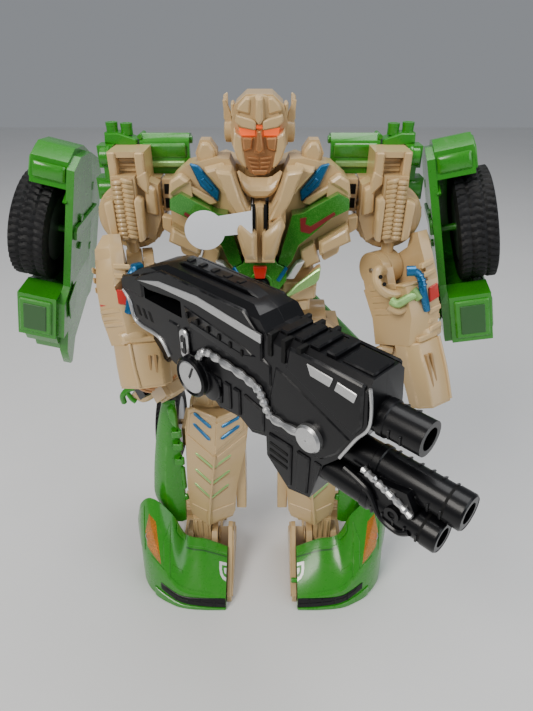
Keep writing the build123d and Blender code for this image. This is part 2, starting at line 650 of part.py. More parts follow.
def nodes():
    front_shell = chest_front_shell()
    near_half, far_half = gun_halves()
    made = {
        "chest_front_shell": front_shell,
        "chest_back_shell": chest_back_shell(),
        "chest_flares": chest_flares(front_shell),
        "abdomen_plate": abdomen_plate(),
        "waist_block": waist_block(),
        "pelvis_block": pelvis_block(),
        "shoulder_links": shoulder_links(),
        "battery_door": battery_door(),
        "battery_contacts": battery_contacts(),
        "button_cells": button_cells(),
        "sound_board": sound_board(),
        "speaker": speaker(),
        "light_diode": light_diode(),
        "button_spring": button_spring(),
        "case_screws": case_screws(),
        "helmet": helmet(),
        "face_plate": face_plate(),
        "eye_lens": eye_lens(),
        "push_button": push_button(),
        "pull_tab": pull_tab(),
        "back_panel": back_panel(),
        "gun_near_half": gun_place() * near_half,
        "gun_far_half": gun_place() * far_half,
        "gun_barrels": gun_place() * gun_barrels(),
    }
    for side in ("left", "right"):
        for name, shape in {**arm_nodes(side), **leg_nodes(side)}.items():
            made[f"{side}_{name}"] = shape
    return made


def stand_centre(made):
    """The middle of the whole toy's box, seen from above."""
    size = Compound(list(made.values())).bounding_box()
    return (size.min.X + size.max.X) / 2, (size.min.Y + size.max.Y) / 2


if __name__ == "__main__":
    os.makedirs("parts", exist_ok=True)
    toy = nodes()
    middle_x, middle_y = stand_centre(toy)
    for name, shape in toy.items():
        export_step(Pos(-middle_x, -middle_y, 0) * shape, f"parts/{name}.step")
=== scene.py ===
import bpy
import bmesh
import json
import math
from mathutils import Matrix, Vector


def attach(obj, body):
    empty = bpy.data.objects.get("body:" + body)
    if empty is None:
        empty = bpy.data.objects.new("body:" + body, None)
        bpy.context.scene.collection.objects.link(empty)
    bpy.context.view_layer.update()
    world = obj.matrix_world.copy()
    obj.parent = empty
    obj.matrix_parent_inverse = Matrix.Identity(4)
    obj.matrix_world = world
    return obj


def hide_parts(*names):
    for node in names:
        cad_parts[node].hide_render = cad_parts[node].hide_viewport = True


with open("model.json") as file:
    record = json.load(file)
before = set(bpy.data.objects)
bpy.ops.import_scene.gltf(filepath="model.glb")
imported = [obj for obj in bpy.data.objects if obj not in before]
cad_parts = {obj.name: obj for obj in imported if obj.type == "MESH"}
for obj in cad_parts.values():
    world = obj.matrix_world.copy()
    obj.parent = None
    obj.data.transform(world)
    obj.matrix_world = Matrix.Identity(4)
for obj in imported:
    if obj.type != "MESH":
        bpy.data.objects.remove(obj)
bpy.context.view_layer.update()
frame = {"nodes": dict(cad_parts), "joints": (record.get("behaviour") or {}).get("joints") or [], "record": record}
nodes = frame["nodes"]
joints = {joint["name"]: joint for joint in frame["joints"]}
mm = 0.001
sides = ("left", "right")

# where things are: millimetres from the toy's own zero, on the floor below the neck
neckPoint = joints["neck"]["pos_m"]
home = Matrix.Translation((neckPoint[0], neckPoint[1], 0)) @ Matrix.Scale(mm, 4)
flipSides = Matrix.Diagonal((-1, 1, 1, 1))


def jointPoint(name):
    return home.inverted() @ Vector(joints[name]["pos_m"])


def turned(point, *turns):
    placed = Matrix.Translation(point)
    for axis, degrees in turns:
        placed = placed @ Matrix.Rotation(math.radians(degrees), 4, axis)
    return placed


def sideFrame(side, placed=Matrix.Identity(4)):  # left-hand numbers, mirrored for the right
    return home @ (flipSides if side == "right" else Matrix.Identity(4)) @ placed


def leftHand(side, point):
    return Vector((-point[0] if side == "right" else point[0], point[1], point[2]))


armPose = {
    "left": {"turn": 34, "flex": 24, "spread": 2, "fistYaw": -14, "fistPitch": 42, "cuff": 26},
    "right": {"turn": -12, "flex": 27, "spread": 3, "fistYaw": 45, "fistPitch": 45, "cuff": 17},
}
fenderPose = {"left": {"turn": -10, "pitch": 0}, "right": {"turn": 0, "pitch": 5}}
fenderLean = 14
tyreOut = 3.5


def fenderFrame(side):
    pose = fenderPose[side]
    tilt = turned((0, 0, 0), ("Z", pose["turn"]), ("Y", -fenderLean), ("X", pose["pitch"]))
    wheel = leftHand(side, jointPoint(side + "_rear_wheel_spin"))
    return sideFrame(side, Matrix.Translation(wheel) @ tilt @ Matrix.Translation((-tyreOut, 0, 0)))


def armFrame(side):
    pose = armPose[side]
    return sideFrame(side, turned(leftHand(side, jointPoint(side + "_elbow_bend")), ("Z", pose["turn"]),
        ("X", -pose["flex"])))


leftGrip = frame["record"]["mounts"][0]["pos_m"]  # the hole through the left fist


def fistFrame(side):
    pose = armPose[side]
    grip = joints["gun_grip_turn"]["pos_m"] if side == "right" else leftGrip
    return home @ turned(home.inverted() @ Vector(grip), ("Z", pose["fistYaw"]), ("X", -pose["fistPitch"]))


gunFrame = home @ turned(jointPoint("gun_grip_turn") + Vector((3.5, -3.5, 37)), ("Z", -45))


# shader maths
class Value:  # a socket that takes part in sums
    def __init__(self, look, socket):
        self.look = look
        self.socket = socket

    def sum(self, kind, *others, clamp=False):
        return self.look.node("ShaderNodeMath", {"operation": kind, "use_clamp": clamp},
            dict(enumerate((self, *others))))

    def __add__(self, other):
        return self.sum("ADD", other)

    def __radd__(self, other):
        return self.sum("ADD", other)

    def __mul__(self, other):
        return self.sum("MULTIPLY", other)

    def __rmul__(self, other):
        return self.sum("MULTIPLY", other)

    def __sub__(self, other):
        return self.sum("SUBTRACT", other)

    def __rsub__(self, other):
        return (self * -1) + other

    def __truediv__(self, other):
        return self.sum("DIVIDE", other)

    def __rtruediv__(self, other):
        return self.sum("POWER", -1) * other

    def __pow__(self, other):
        return self.sum("POWER", other)

    def clip(self):
        return self.sum("ADD", 0, clamp=True)

    def step(self, low, high):  # 0 below low, 1 above high
        return self.look.node("ShaderNodeMapRange", {"interpolation_type": "SMOOTHSTEP"},
            {"Value": self, "From Min": low, "From Max": high}, "Result")


class Look:  # one procedural material
    def __init__(self, name):
        self.material = bpy.data.materials.new(name)
        self.material.use_nodes = True
        self.tree = self.material.node_tree
        self.surface = self.tree.nodes["Principled BSDF"]
        self.place = self.node("ShaderNodeTexCoord", {}, {}, "Object")

    def node(self, kind, settings, sockets, output=0):
        made = self.tree.nodes.new(kind)
        for name, value in settings.items():
            setattr(made, name, value)
        for name, value in sockets.items():
            self.feed(made.inputs[name], value)
        return Value(self, made.outputs[output])

    def feed(self, socket, value):
        if isinstance(value, Value):
            self.tree.links.new(value.socket, socket)
        else:
            socket.default_value = value

    def cloud(self, scale, detail=4, rough=0.6, place=None, seed=0.0):
        return self.node("ShaderNodeTexNoise", {"noise_dimensions": "4D"},
            {"Vector": place or self.place, "W": seed, "Scale": scale, "Detail": detail,
            "Roughness": rough})

    def stretched(self, x, y, z):
        return self.node("ShaderNodeVectorMath", {"operation": "MULTIPLY"}, {0: self.place, 1: (x, y, z)},
            "Vector")

    def mix(self, share, first, second, kind="MIX"):
        made = self.node("ShaderNodeMix", {"data_type": "RGBA", "blend_type": kind}, {}, 2)
        mixer = made.socket.node
        self.feed(mixer.inputs[0], share)
        self.feed(mixer.inputs[6], first)
        self.feed(mixer.inputs[7], second)
        return made

    def edge(self):
        return self.node("ShaderNodeAttribute", {"attribute_name": "edge"}, {}, "Fac")

    def set(self, **values):
        for name, value in values.items():
            self.feed(self.surface.inputs[name.replace("_", " ")], value)

    def bump(self, height, strength=0.3, distance=0.0002):
        self.feed(self.surface.inputs["Normal"],
            self.node("ShaderNodeBump", {}, {"Height": height, "Strength": strength,
            "Distance": distance}, "Normal"))


def tone(red, green, blue, share=1.0):
    return (red * share, green * share, blue * share, 1.0)


plasticSettings = {
    "flow": 38, "grain": 2600, "scratch": 900,  # noise scales per metre
    "dust": 0.10, "wear": 0.55,
}


def mouldedPlastic(name, colour, rough=0.32, vary=0.16, sheen=0.35, wearTone=None, flakes=0.0):
    look = Look(name)
    base = tone(*colour)
    flow = look.cloud(plasticSettings["flow"], 3)
    patches = look.cloud(170, 5, 0.65, seed=2.0)
    grain = look.cloud(plasticSettings["grain"], 3, 0.7)
    lines = look.cloud(plasticSettings["scratch"], 2, 0.5, look.stretched(1, 1, 0.06), 4.0).step(0.66, 0.74)
    colourNow = look.mix(flow * vary + patches * vary * 0.6, base, tone(*colour, share=0.62))
    if flakes:
        cell = look.node("ShaderNodeTexVoronoi", {}, {"Vector": look.place, "Scale": 5200.0}, "Color")
        bright = look.node("ShaderNodeSeparateColor", {}, {"Color": cell}, "Red").step(0.55, 0.95)
        colourNow = look.mix(bright * flakes, colourNow, tone(min(1, colour[0] * 2.2 + 0.15),
            min(1, colour[1] * 1.7 + 0.15), min(1, colour[2] * 2.2 + 0.1)))
    worn = (look.edge() * patches.step(0.45, 0.62) * plasticSettings["wear"]).clip()
    colourNow = look.mix(worn, colourNow, tone(*(wearTone or [min(1, c * 1.25 + 0.05) for c in colour])))
    dust = (patches.step(0.55, 0.8) * plasticSettings["dust"] * min(1, 4 * max(colour) + 0.05)).clip()
    colourNow = look.mix(dust, colourNow, tone(0.55, 0.5, 0.42))
    look.set(Base_Color=colourNow, Roughness=(rough + patches * 0.14 - 0.05 + dust + lines * 0.08).clip(),
        Specular_IOR_Level=0.5 if max(colour) > 0.02 else 0.22, Coat_Weight=sheen, Coat_Roughness=0.12)
    if flakes:
        look.set(Metallic=0.45)
    look.bump(grain * 0.35 + patches * 0.5 - lines * 0.25, 0.22, 0.00012)
    return look.material


def metalPaint(name, colour, rough=0.34, metallic=0.85, flake=0.5):
    look = Look(name)
    patches = look.cloud(260, 5, 0.65, seed=1.0)
    grain = look.cloud(3600, 2, 0.6, seed=3.0)
    colourNow = look.mix((patches * 0.7).clip(), tone(*colour), tone(*colour, share=0.55))
    colourNow = look.mix((grain.step(0.5, 0.7) * flake * 0.5).clip(), colourNow,
        tone(*[min(1, c * 1.5 + 0.08) for c in colour]))
    worn = (look.edge() * patches.step(0.4, 0.6) * 0.6).clip()
    colourNow = look.mix(worn, colourNow, tone(*[min(1, c * 1.3 + 0.06) for c in colour]))
    look.set(Base_Color=colourNow, Roughness=(rough + patches * 0.2 - 0.08).clip(), Metallic=metallic,
        Coat_Weight=0.15)
    look.bump(grain * 0.5 + patches * 0.5, 0.25, 0.0001)
    return look.material


def clearTint(name, colour, rough=0.08, glow=0.0, seeThrough=0.35):
    look = Look(name)
    patches = look.cloud(300, 4, 0.6, seed=5.0)
    ribs = look.cloud(420, 2, 0.5, look.stretched(1, 1, 0.2), 6.0)
    look.set(Base_Color=look.mix((patches * 0.5 + ribs * 0.4).clip(), tone(*colour),
        tone(*colour, share=0.45)), Roughness=(rough + patches * 0.12).clip(),
        Transmission_Weight=seeThrough, IOR=1.49, Coat_Weight=0.6, Coat_Roughness=0.05)
    # glow adds emission; on the amber headlight lens it is a painted glow, as the headlight has no lamp
    if glow:
        look.set(Emission_Color=tone(*colour), Emission_Strength=glow)
    look.bump(patches + ribs * 0.6, 0.2, 0.00015)
    return look.material


def rubber(name):
    look = Look(name)
    patches = look.cloud(220, 5, 0.7, seed=8.0)
    grain = look.cloud(3000, 3, 0.7, seed=9.0)
    dusty = patches.step(0.5, 0.75)
    look.set(Base_Color=look.mix((dusty * 0.35).clip(), tone(0.006, 0.006, 0.007),
        tone(0.04, 0.038, 0.034)), Roughness=(0.46 + patches * 0.25).clip(), Specular_IOR_Level=0.28)
    look.bump(grain * 0.6 + patches * 0.4, 0.35, 0.0002)
    return look.material


looks = {"beige": mouldedPlastic("beigePlastic", (0.555, 0.385, 0.185), 0.36),
    # the darker beige look is a darker copy of the beige plastic: painted shade for recesses, grooves and the
    # strips under raised marks
    "beigeDeep": mouldedPlastic("deepBeigePlastic", (0.36, 0.22, 0.09), 0.42),
    "green": mouldedPlastic("greenPlastic", (0.022, 0.24, 0.006), 0.26, 0.2, 0.28),
    # the darker green look is a darker copy of the green plastic: painted shade for insets, grooves and the
    # underside of the hood shell
    "greenDeep": mouldedPlastic("deepGreenPlastic", (0.010, 0.09, 0.008), 0.3),
    "sparkle": mouldedPlastic("sparkleGreen", (0.035, 0.27, 0.018), 0.2, 0.2, 0.8, flakes=0.3),
    "lime": metalPaint("limeMetallicPaint", (0.34, 0.62, 0.2), 0.3, 0.5),
    "blue": metalPaint("blueMetallicPaint", (0.014, 0.15, 0.34), 0.26, 0.6),
    "red": mouldedPlastic("redPaint", (0.52, 0.02, 0.012), 0.28),
    "darkRed": mouldedPlastic("darkRedPaint", (0.16, 0.012, 0.012), 0.34),
    "pearl": metalPaint("pearlPaint", (0.8, 0.8, 0.78), 0.3, 0.25, 0.3),
    "copper": metalPaint("copperPaint", (0.55, 0.26, 0.1), 0.38, 0.7),
    "silver": metalPaint("silverPaint", (0.6, 0.6, 0.6), 0.3, 0.9),
    "steel": metalPaint("platedSteel", (0.62, 0.62, 0.63), 0.22, 1.0, 0.2),
    # the "hole" look defined on the next line is near-black painted shade for the inside of slots, vents and
    # grooves; the hidden speaker reuses it
    "black": mouldedPlastic("blackPlastic", (0.0035, 0.0035, 0.0045), 0.3, 0.3, 0.12,
    wearTone=(0.04, 0.04, 0.042)), "hole": mouldedPlastic("darkRecess", (0.006, 0.006, 0.006), 0.7, 0.2,
    0.0), "hub": metalPaint("hubPaint", (0.32, 0.33, 0.34), 0.3, 0.8), "tyre": rubber("tyreRubber"),
    "film": mouldedPlastic("whiteFilm", (0.82, 0.84, 0.88), 0.45, 0.08, 0.1),
    "eye": clearTint("redEyeLens", (0.9, 0.13, 0.02), 0.1, 0.9, 0.2),
    # the amber lens's small emission is a painted glow: there is no lamp behind the headlight
    "amber": clearTint("amberLens", (1.0, 0.44, 0.015), 0.05, 0.05, 0.75),
    "clear": clearTint("clearLens", (0.92, 0.9, 0.82), 0.05, 0.0, 0.85),
    "board": mouldedPlastic("boardLaminate", (0.02, 0.16, 0.05), 0.4)}


# mesh building
shapeSettings = {
    "weld": 0.0005, "pathCuts": 8,
    "sharpAngle": 28, "roundAngle": 40, "bodyAngle": 30, "smoothAngle": 27,  # degrees between faces
}


def alongLine(line, place):  # lays the z axis along a line
    return Matrix.Translation(place) @ line.to_track_quat("Z", "Y").to_matrix().to_4x4()


def joinRings(part, rings):  # a closed skin over rings of equally many points
    part.faces.new(rings[0])
    part.faces.new(rings[-1])
    for a, b in zip(rings, rings[1:]):
        for i in range(len(a)):
            j = (i + 1) % len(a)
            part.faces.new((a[i], a[j], b[j], b[i]))


def rect(x0, x1, z0, z1):  # a rectangle as an outline
    return [(x0, z0), (x1, z0), (x1, z1), (x0, z1)]


class Maker:  # gathers small solids, each with its own rounded edges
    def __init__(self, placed, *names):
        self.all = bmesh.new()
        self.rim = self.all.faces.layers.float.new("edge")
        self.placed = placed
        self.looks = list(names)

    def number(self, look):
        if look not in self.looks:
            self.looks.append(look)
        return self.looks.index(look)

    def add(self, part, look, edge=0.3, segments=1, where=None, sharp=shapeSettings["sharpAngle"]):
        bmesh.ops.remove_doubles(part, verts=part.verts, dist=shapeSettings["weld"])
        bmesh.ops.recalc_face_normals(part, faces=part.faces)
        rim = part.faces.layers.float.new("edge")
        if edge:
            corners = [e for e in part.edges
                if len(e.link_faces) == 2 and e.calc_face_angle(0) > math.radians(sharp)]
            rounded = bmesh.ops.bevel(
                part, geom=corners, offset=edge, offset_type="OFFSET", segments=segments, profile=0.5,
                affect="EDGES", clamp_overlap=True, material=-1)
            for face in rounded["faces"]:
                face[rim] = 1.0
        if where is not None:
            bmesh.ops.transform(part, matrix=where, verts=part.verts)
        index = self.number(look)
        for face in part.faces:
            face.material_index = index
            face.smooth = True
        for e in part.edges:
            e.smooth = len(e.link_faces) == 2 and e.calc_face_angle(0) < math.radians(
                shapeSettings["smoothAngle"])
        kept = bpy.data.meshes.new("part")
        part.to_mesh(kept)
        part.free()
        self.all.from_mesh(kept)
        bpy.data.meshes.remove(kept)
        return self

    def prism(self, outline, low, high, look, edge=0.3, axes="xz", where=None, top=None, segments=1):
        seat = {"xz": lambda p, d: (p[0], d, p[1]), "yz": lambda p, d: (d, p[0], p[1]), "xy": lambda p,
            d: (p[0], p[1], d)}[axes]
        part = bmesh.new()
        corners = [Vector(seat(p, low)) for p in outline]
        base = part.faces.new([part.verts.new(p) for p in corners])
        raised = bmesh.ops.extrude_face_region(part, geom=[base])["geom"]
        for vert in [item for item in raised if isinstance(item, bmesh.types.BMVert)]:
            nearest = min(range(len(corners)), key=lambda i: (corners[i] - vert.co).length)
            vert.co = seat((top or outline)[nearest], high)
        return self.add(part, look, edge, segments, where)

    def box(self, x0, x1, y0, y1, z0, z1, look, edge=0.3, where=None):
        return self.prism(rect(x0, x1, z0, z1), y0, y1, look, edge, where=where)

    def loft(self, sections, look, edge=0.3, where=None):
        part = bmesh.new()
        rings = [[part.verts.new(p) for p in section] for section in sections]
        joinRings(part, rings)
        return self.add(part, look, edge, 1, where)

    def rod(self, start, end, radius, look, far=None, edge=0.25, steps=24, where=None):
        line = Vector(end) - Vector(start)
        part = bmesh.new()
        far = radius if far is None else far
        bmesh.ops.create_cone(
            part, cap_ends=True, segments=steps, radius1=radius, radius2=far, depth=line.length)
        along = alongLine(line, (Vector(start) + Vector(end)) / 2)
        bmesh.ops.transform(part, matrix=along, verts=part.verts)
        return self.add(part, look, edge, 2, where, shapeSettings["roundAngle"])

    # (radius, height) pairs turned round the line from start to end
    def lathe(self, profile, look, start, end, steps=40, where=None):
        line = Vector(end) - Vector(start)
        part = bmesh.new()
        corners = [part.verts.new((r, 0, h)) for r, h in profile]
        outline = [part.edges.new(pair) for pair in zip(corners, corners[1:] + corners[:1])]
        bmesh.ops.spin(
            part, geom=corners + outline, axis=(0, 0, 1), cent=(0, 0, 0), dvec=(0, 0, 0),
            angle=2 * math.pi, steps=steps, use_merge=True)
        along = alongLine(line, start)
        bmesh.ops.transform(part, matrix=along, verts=part.verts)
        return self.add(part, look, 0, 1, where)

    def hose(self, points, radius, look, steps=10, beads=0, swell=0.0, where=None):
        path = smoothPath(points, shapeSettings["pathCuts"])
        part = bmesh.new()
        rings = []
        side = None
        for k, p in enumerate(path):
            ahead = (path[min(k + 1, len(path) - 1)] - path[max(k - 1, 0)]).normalized()
            side = (ahead.orthogonal() if side is None else side - ahead * side.dot(ahead)).normalized()
            up = ahead.cross(side)
            r = radius + (swell * abs(math.sin(math.pi * beads * k / (len(path) - 1))) if beads else 0)
            ring = []
            for i in range(steps):
                a = 2 * math.pi * i / steps
                ring.append(part.verts.new(p + side * (r * math.cos(a)) + up * (r * math.sin(a))))
            rings.append(ring)
        joinRings(part, rings)
        return self.add(part, look, 0, 1, where)

    def node(self, name, look, edge=0.4):  # a CAD body's own shape with rounded edges
        part = bmesh.new()
        part.from_mesh(nodes[name].data)
        bmesh.ops.remove_doubles(part, verts=part.verts, dist=1e-6)
        bmesh.ops.transform(part, matrix=self.placed.inverted(), verts=part.verts)
        bmesh.ops.dissolve_limit(part, angle_limit=math.radians(2), verts=part.verts, edges=part.edges)
        return self.add(part, look, edge, 1, None, shapeSettings["bodyAngle"])

    def finish(self, name, body, *replaced, slot=None):
        bmesh.ops.transform(self.all, matrix=self.placed, verts=self.all.verts)
        if self.placed.determinant() < 0:
            bmesh.ops.reverse_faces(self.all, faces=self.all.faces)
        shape = bpy.data.meshes.new(name)
        self.all.to_mesh(shape)
        self.all.free()
        for look in self.looks:
            shape.materials.append(looks[look])
        piece = bpy.data.objects.new(name, shape)
        bpy.context.scene.collection.objects.link(piece)
        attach(piece, body)
        if replaced:
            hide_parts(*replaced)
        return piece


def smoothPath(points, cuts):
    line = [Vector(p) for p in points]
    path = []
    for k in range(len(line) - 1):
        a, b, c, d = line[max(k - 1, 0)], line[k], line[k + 1], line[min(k + 2, len(line) - 1)]
        for i in range(cuts):
            t = i / cuts
            path.append(0.5 * ((2 * b) + (c - a) * t + (2 * a - 5 * b + 4 * c - d) * t * t
                + (3 * b - a - 3 * c + d) * t ** 3))
    return path + [line[-1]]


def across(points, s):
    return [(x * s, z) for x, z in points]


# camera and light
viewSettings = {"height": 0.261, "back": -0.212, "aside": 0.0025, "tilt": 58, "lens": 36 * 534 / 711}
camera = bpy.data.objects.new("camera", bpy.data.cameras.new("camera"))
camera.location = home @ Vector((viewSettings["aside"] / mm, viewSettings["back"] / mm,
    viewSettings["height"] / mm))
camera.rotation_euler = (math.radians(viewSettings["tilt"]), 0, 0)
camera.data.lens = viewSettings["lens"]
camera.data.sensor_width = 36
camera.data.clip_start = 0.01
camera.data.dof.use_dof = False
bpy.context.scene.collection.objects.link(camera)
bpy.context.scene.camera = camera

lightSettings = {
    "key": {"place": (-0.45, -0.5, 0.75), "size": 0.4, "power": 7.0, "tint": (1, 0.96, 0.9)},
    "fill": {"place": (0.6, -0.45, 0.5), "size": 0.6, "power": 2.6, "tint": (0.92, 0.96, 1)},
    "top": {"place": (0.1, 0.15, 0.9), "size": 0.5, "power": 4.0, "tint": (1, 1, 1)},
}
for name, light in lightSettings.items():
    lamp = bpy.data.objects.new(name + "Light", bpy.data.lights.new(name + "Light", "AREA"))
    lamp.data.size = light["size"]
    lamp.data.energy = light["power"]
    lamp.data.color = light["tint"]
    lamp.location = home @ (Vector(light["place"]) / mm)
    lamp.rotation_euler = ((home @ Vector((0, -20, 130))) - lamp.location).to_track_quat("-Z", "Y").to_euler()
    bpy.context.scene.collection.objects.link(lamp)
world = bpy.data.worlds.new("studio")
world.use_nodes = True
world.node_tree.nodes["Background"].inputs["Color"].default_value = (0.8, 0.84, 0.9, 1)
world.node_tree.nodes["Background"].inputs["Strength"].default_value = 0.32
bpy.context.scene.world = world
floorMesh = bpy.data.meshes.new("floor")
floorMesh.from_pydata([(-1.5, -1.5, 0), (1.5, -1.5, 0), (1.5, 1.5, 0), (-1.5, 1.5, 0)], [], [(0, 1, 2, 3)])
floor = bpy.data.objects.new("floor", floorMesh)
floorLook = Look("paleFloor")
floorLook.set(Base_Color=floorLook.mix(floorLook.cloud(12, 4), tone(0.74, 0.74, 0.74),
    tone(0.68, 0.68, 0.68)), Roughness=0.6)
floorMesh.materials.append(floorLook.material)
bpy.context.scene.collection.objects.link(floor)
print("camera, light and floor set")


# every CAD body in its material, the outer ones with their edges rounded
record = frame["record"]
bodyOf = {node: body for body, members in record["behaviour"]["bodies"].items() for node in members}
slotOf = {row["node"]: row["material_slot"] for row in record["subparts"]}
innerLooks = {"battery_contacts": "steel", "button_cells": "steel", "sound_board": "board",
    "speaker": "hole", "light_diode": "clear", "button_spring": "steel", "case_screws": "steel",
    "pull_tab": "film"}
outerLooks = {"chest_front_shell": ("beige", 0.6), "chest_back_shell": ("beige", 0.6),  # look, rounding in mm
    "chest_flares": ("sparkle", 0.7), "abdomen_plate": ("sparkle", 0.6), "waist_block": ("beige", 0.6),
    "pelvis_block": ("beige", 0.6), "shoulder_links": ("beige", 0.4), "battery_door": ("beige", 0.4),
    "push_button": ("black", 0.3), "back_panel": ("green", 0.7), "gun_near_half": ("black", 0.5),
    "gun_far_half": ("black", 0.5), "upper_arm_front": ("beige", 0.6), "upper_arm_back": ("beige", 0.6),
    "roof_beam": ("green", 0.5), "roof_flap": ("green", 0.7), "fender": ("green", 0.7),
    "elbow_block": ("beige", 0.5), "forearm": ("beige", 0.7), "fist": ("beige", 0.5),
    "thigh": ("beige", 0.7), "shin": ("beige", 0.6), "foot_frame": ("beige", 0.6),
    "gun_barrels": ("black", 0.4), "helmet": ("beige", 0.7), "face_plate": ("copper", 0.5),
    "eye_lens": ("eye", 0.3)}


def plainName(node):
    return node.replace("left_", "").replace("right_", "")


for node in nodes:
    kind = plainName(node)
    if kind in innerLooks:
        for place in nodes[node].material_slots:
            place.material = looks[innerLooks[kind]]
    elif kind in outerLooks:
        look, edge = outerLooks[kind]
        Maker(home, look).node(node, look, edge).finish(node + ".skin", bodyOf[node], node, slot=slotOf[node])
print("bodies in their materials")


# wheels
wheelSettings = {"treads": 46, "treadDepth": 0.7, "lanes": 15, "steps": 230, "spokes": 5, "bolts": 5}


def treadedTyre(maker, radius, width, rim):
    half = width / 2
    part = bmesh.new()
    outline = [(rim, -half + 1.2), (rim + 1.2, -half + 0.5), (radius - 4, -half), (radius - 1.6, -half + 0.3)]
    lanes = wheelSettings["lanes"]
    outline += [(radius - 0.1, -half + 0.9 + (width - 1.8) * k / (lanes - 1)) for k in range(lanes)]
    outline += [(radius - 1.6, half - 0.3), (radius - 4, half), (rim + 1.2, half - 0.5), (rim, half - 1.2)]
    rings = []
    for k in range(wheelSettings["steps"]):
        a = 2 * math.pi * k / wheelSettings["steps"]
        ring = []
        for i, (r, h) in enumerate(outline):
            if 4 <= i < 4 + lanes:
                lane = i - 4
                wave = math.sin(wheelSettings["treads"] * a + 2.4 * abs(math.sin(math.pi * lane / 4.6)))
                cut = max(0.0, -wave) ** 0.5
                groove = 1.0 if lane in (4, 10) else 0.0
                r -= wheelSettings["treadDepth"] * max(cut, groove)
            ring.append(part.verts.new((h, r * math.cos(a), r * math.sin(a))))
        rings.append(ring)
    for k in range(len(rings)):
        a, b = rings[k], rings[(k + 1) % len(rings)]
        for i in range(len(outline)):
            j = (i + 1) % len(outline)
            part.faces.new((a[i], a[j], b[j], b[i]))
    maker.add(part, "tyre", 0)


def spokedHub(maker, width, rim):
    half = width / 2
    out = half - 1.4
    maker.lathe([(rim, -half + 1), (rim, half - 0.9), (rim - 1.0, half - 0.5), (rim - 1.9, half - 1.2),
        (rim - 2.6, -half + 3), (1.6, -half + 3), (1.6, -half + 1)], "hub", (0, 0, 0), (1, 0, 0))
    maker.lathe([(1.6, -half + 3), (3.6, -half + 3), (3.4, out), (2.6, out + 0.5), (1.6, out + 0.5)],
        "hub", (0, 0, 0), (1, 0, 0), 24)
    for k in range(wheelSettings["spokes"]):
        spin = Matrix.Rotation(2 * math.pi * k / wheelSettings["spokes"], 4, "X")
        maker.prism([(-1.5, 2.6), (1.5, 2.6), (2.3, rim - 1.4), (-2.3, rim - 1.4)], -half + 3.2,
            out - 0.4, "hub", 0.5, axes="yz", where=spin)
    for k in range(wheelSettings["bolts"]):
        spin = Matrix.Rotation(2 * math.pi * (k + 0.5) / wheelSettings["bolts"], 4, "X")
        maker.rod((out - 0.6, 0, 2.4), (out + 0.2, 0, 2.4), 0.45, "steel", steps=10, edge=0.1, where=spin)


def wheelPlace(side, end):
    if end == "front":
        return sideFrame(side, Matrix.Translation(leftHand(side, jointPoint(side + "_front_wheel_spin"))))
    return fenderFrame(side) @ Matrix.Translation((tyreOut, 0, 0))


for side in sides:
    for end, radius, width in (("rear", 22.5, 15), ("front", 20, 12)):
        rubberRing = Maker(wheelPlace(side, end))
        treadedTyre(rubberRing, radius, width, 14)
        rubberRing.finish(f"{side}_{end}_tyre.tread", f"{side}_{end}_wheel", f"{side}_{end}_tyre",
            slot="tyre")
        rim = Maker(wheelPlace(side, end))
        spokedHub(rim, width, 14)
        rim.finish(f"{side}_{end}_hub.rim", f"{side}_{end}_wheel", f"{side}_{end}_hub", slot="hub")
print("wheels made")


# the gun: x along the barrels, -y its near side
gunSettings = {"beads": 15, "ribs": 6}


def ringPlate(outer, share):  # an outline drawn in towards its middle
    cx = sum(p[0] for p in outer) / len(outer)
    cz = sum(p[1] for p in outer) / len(outer)
    return [(cx + (x - cx) * share, cz + (z - cz) * share) for x, z in outer]


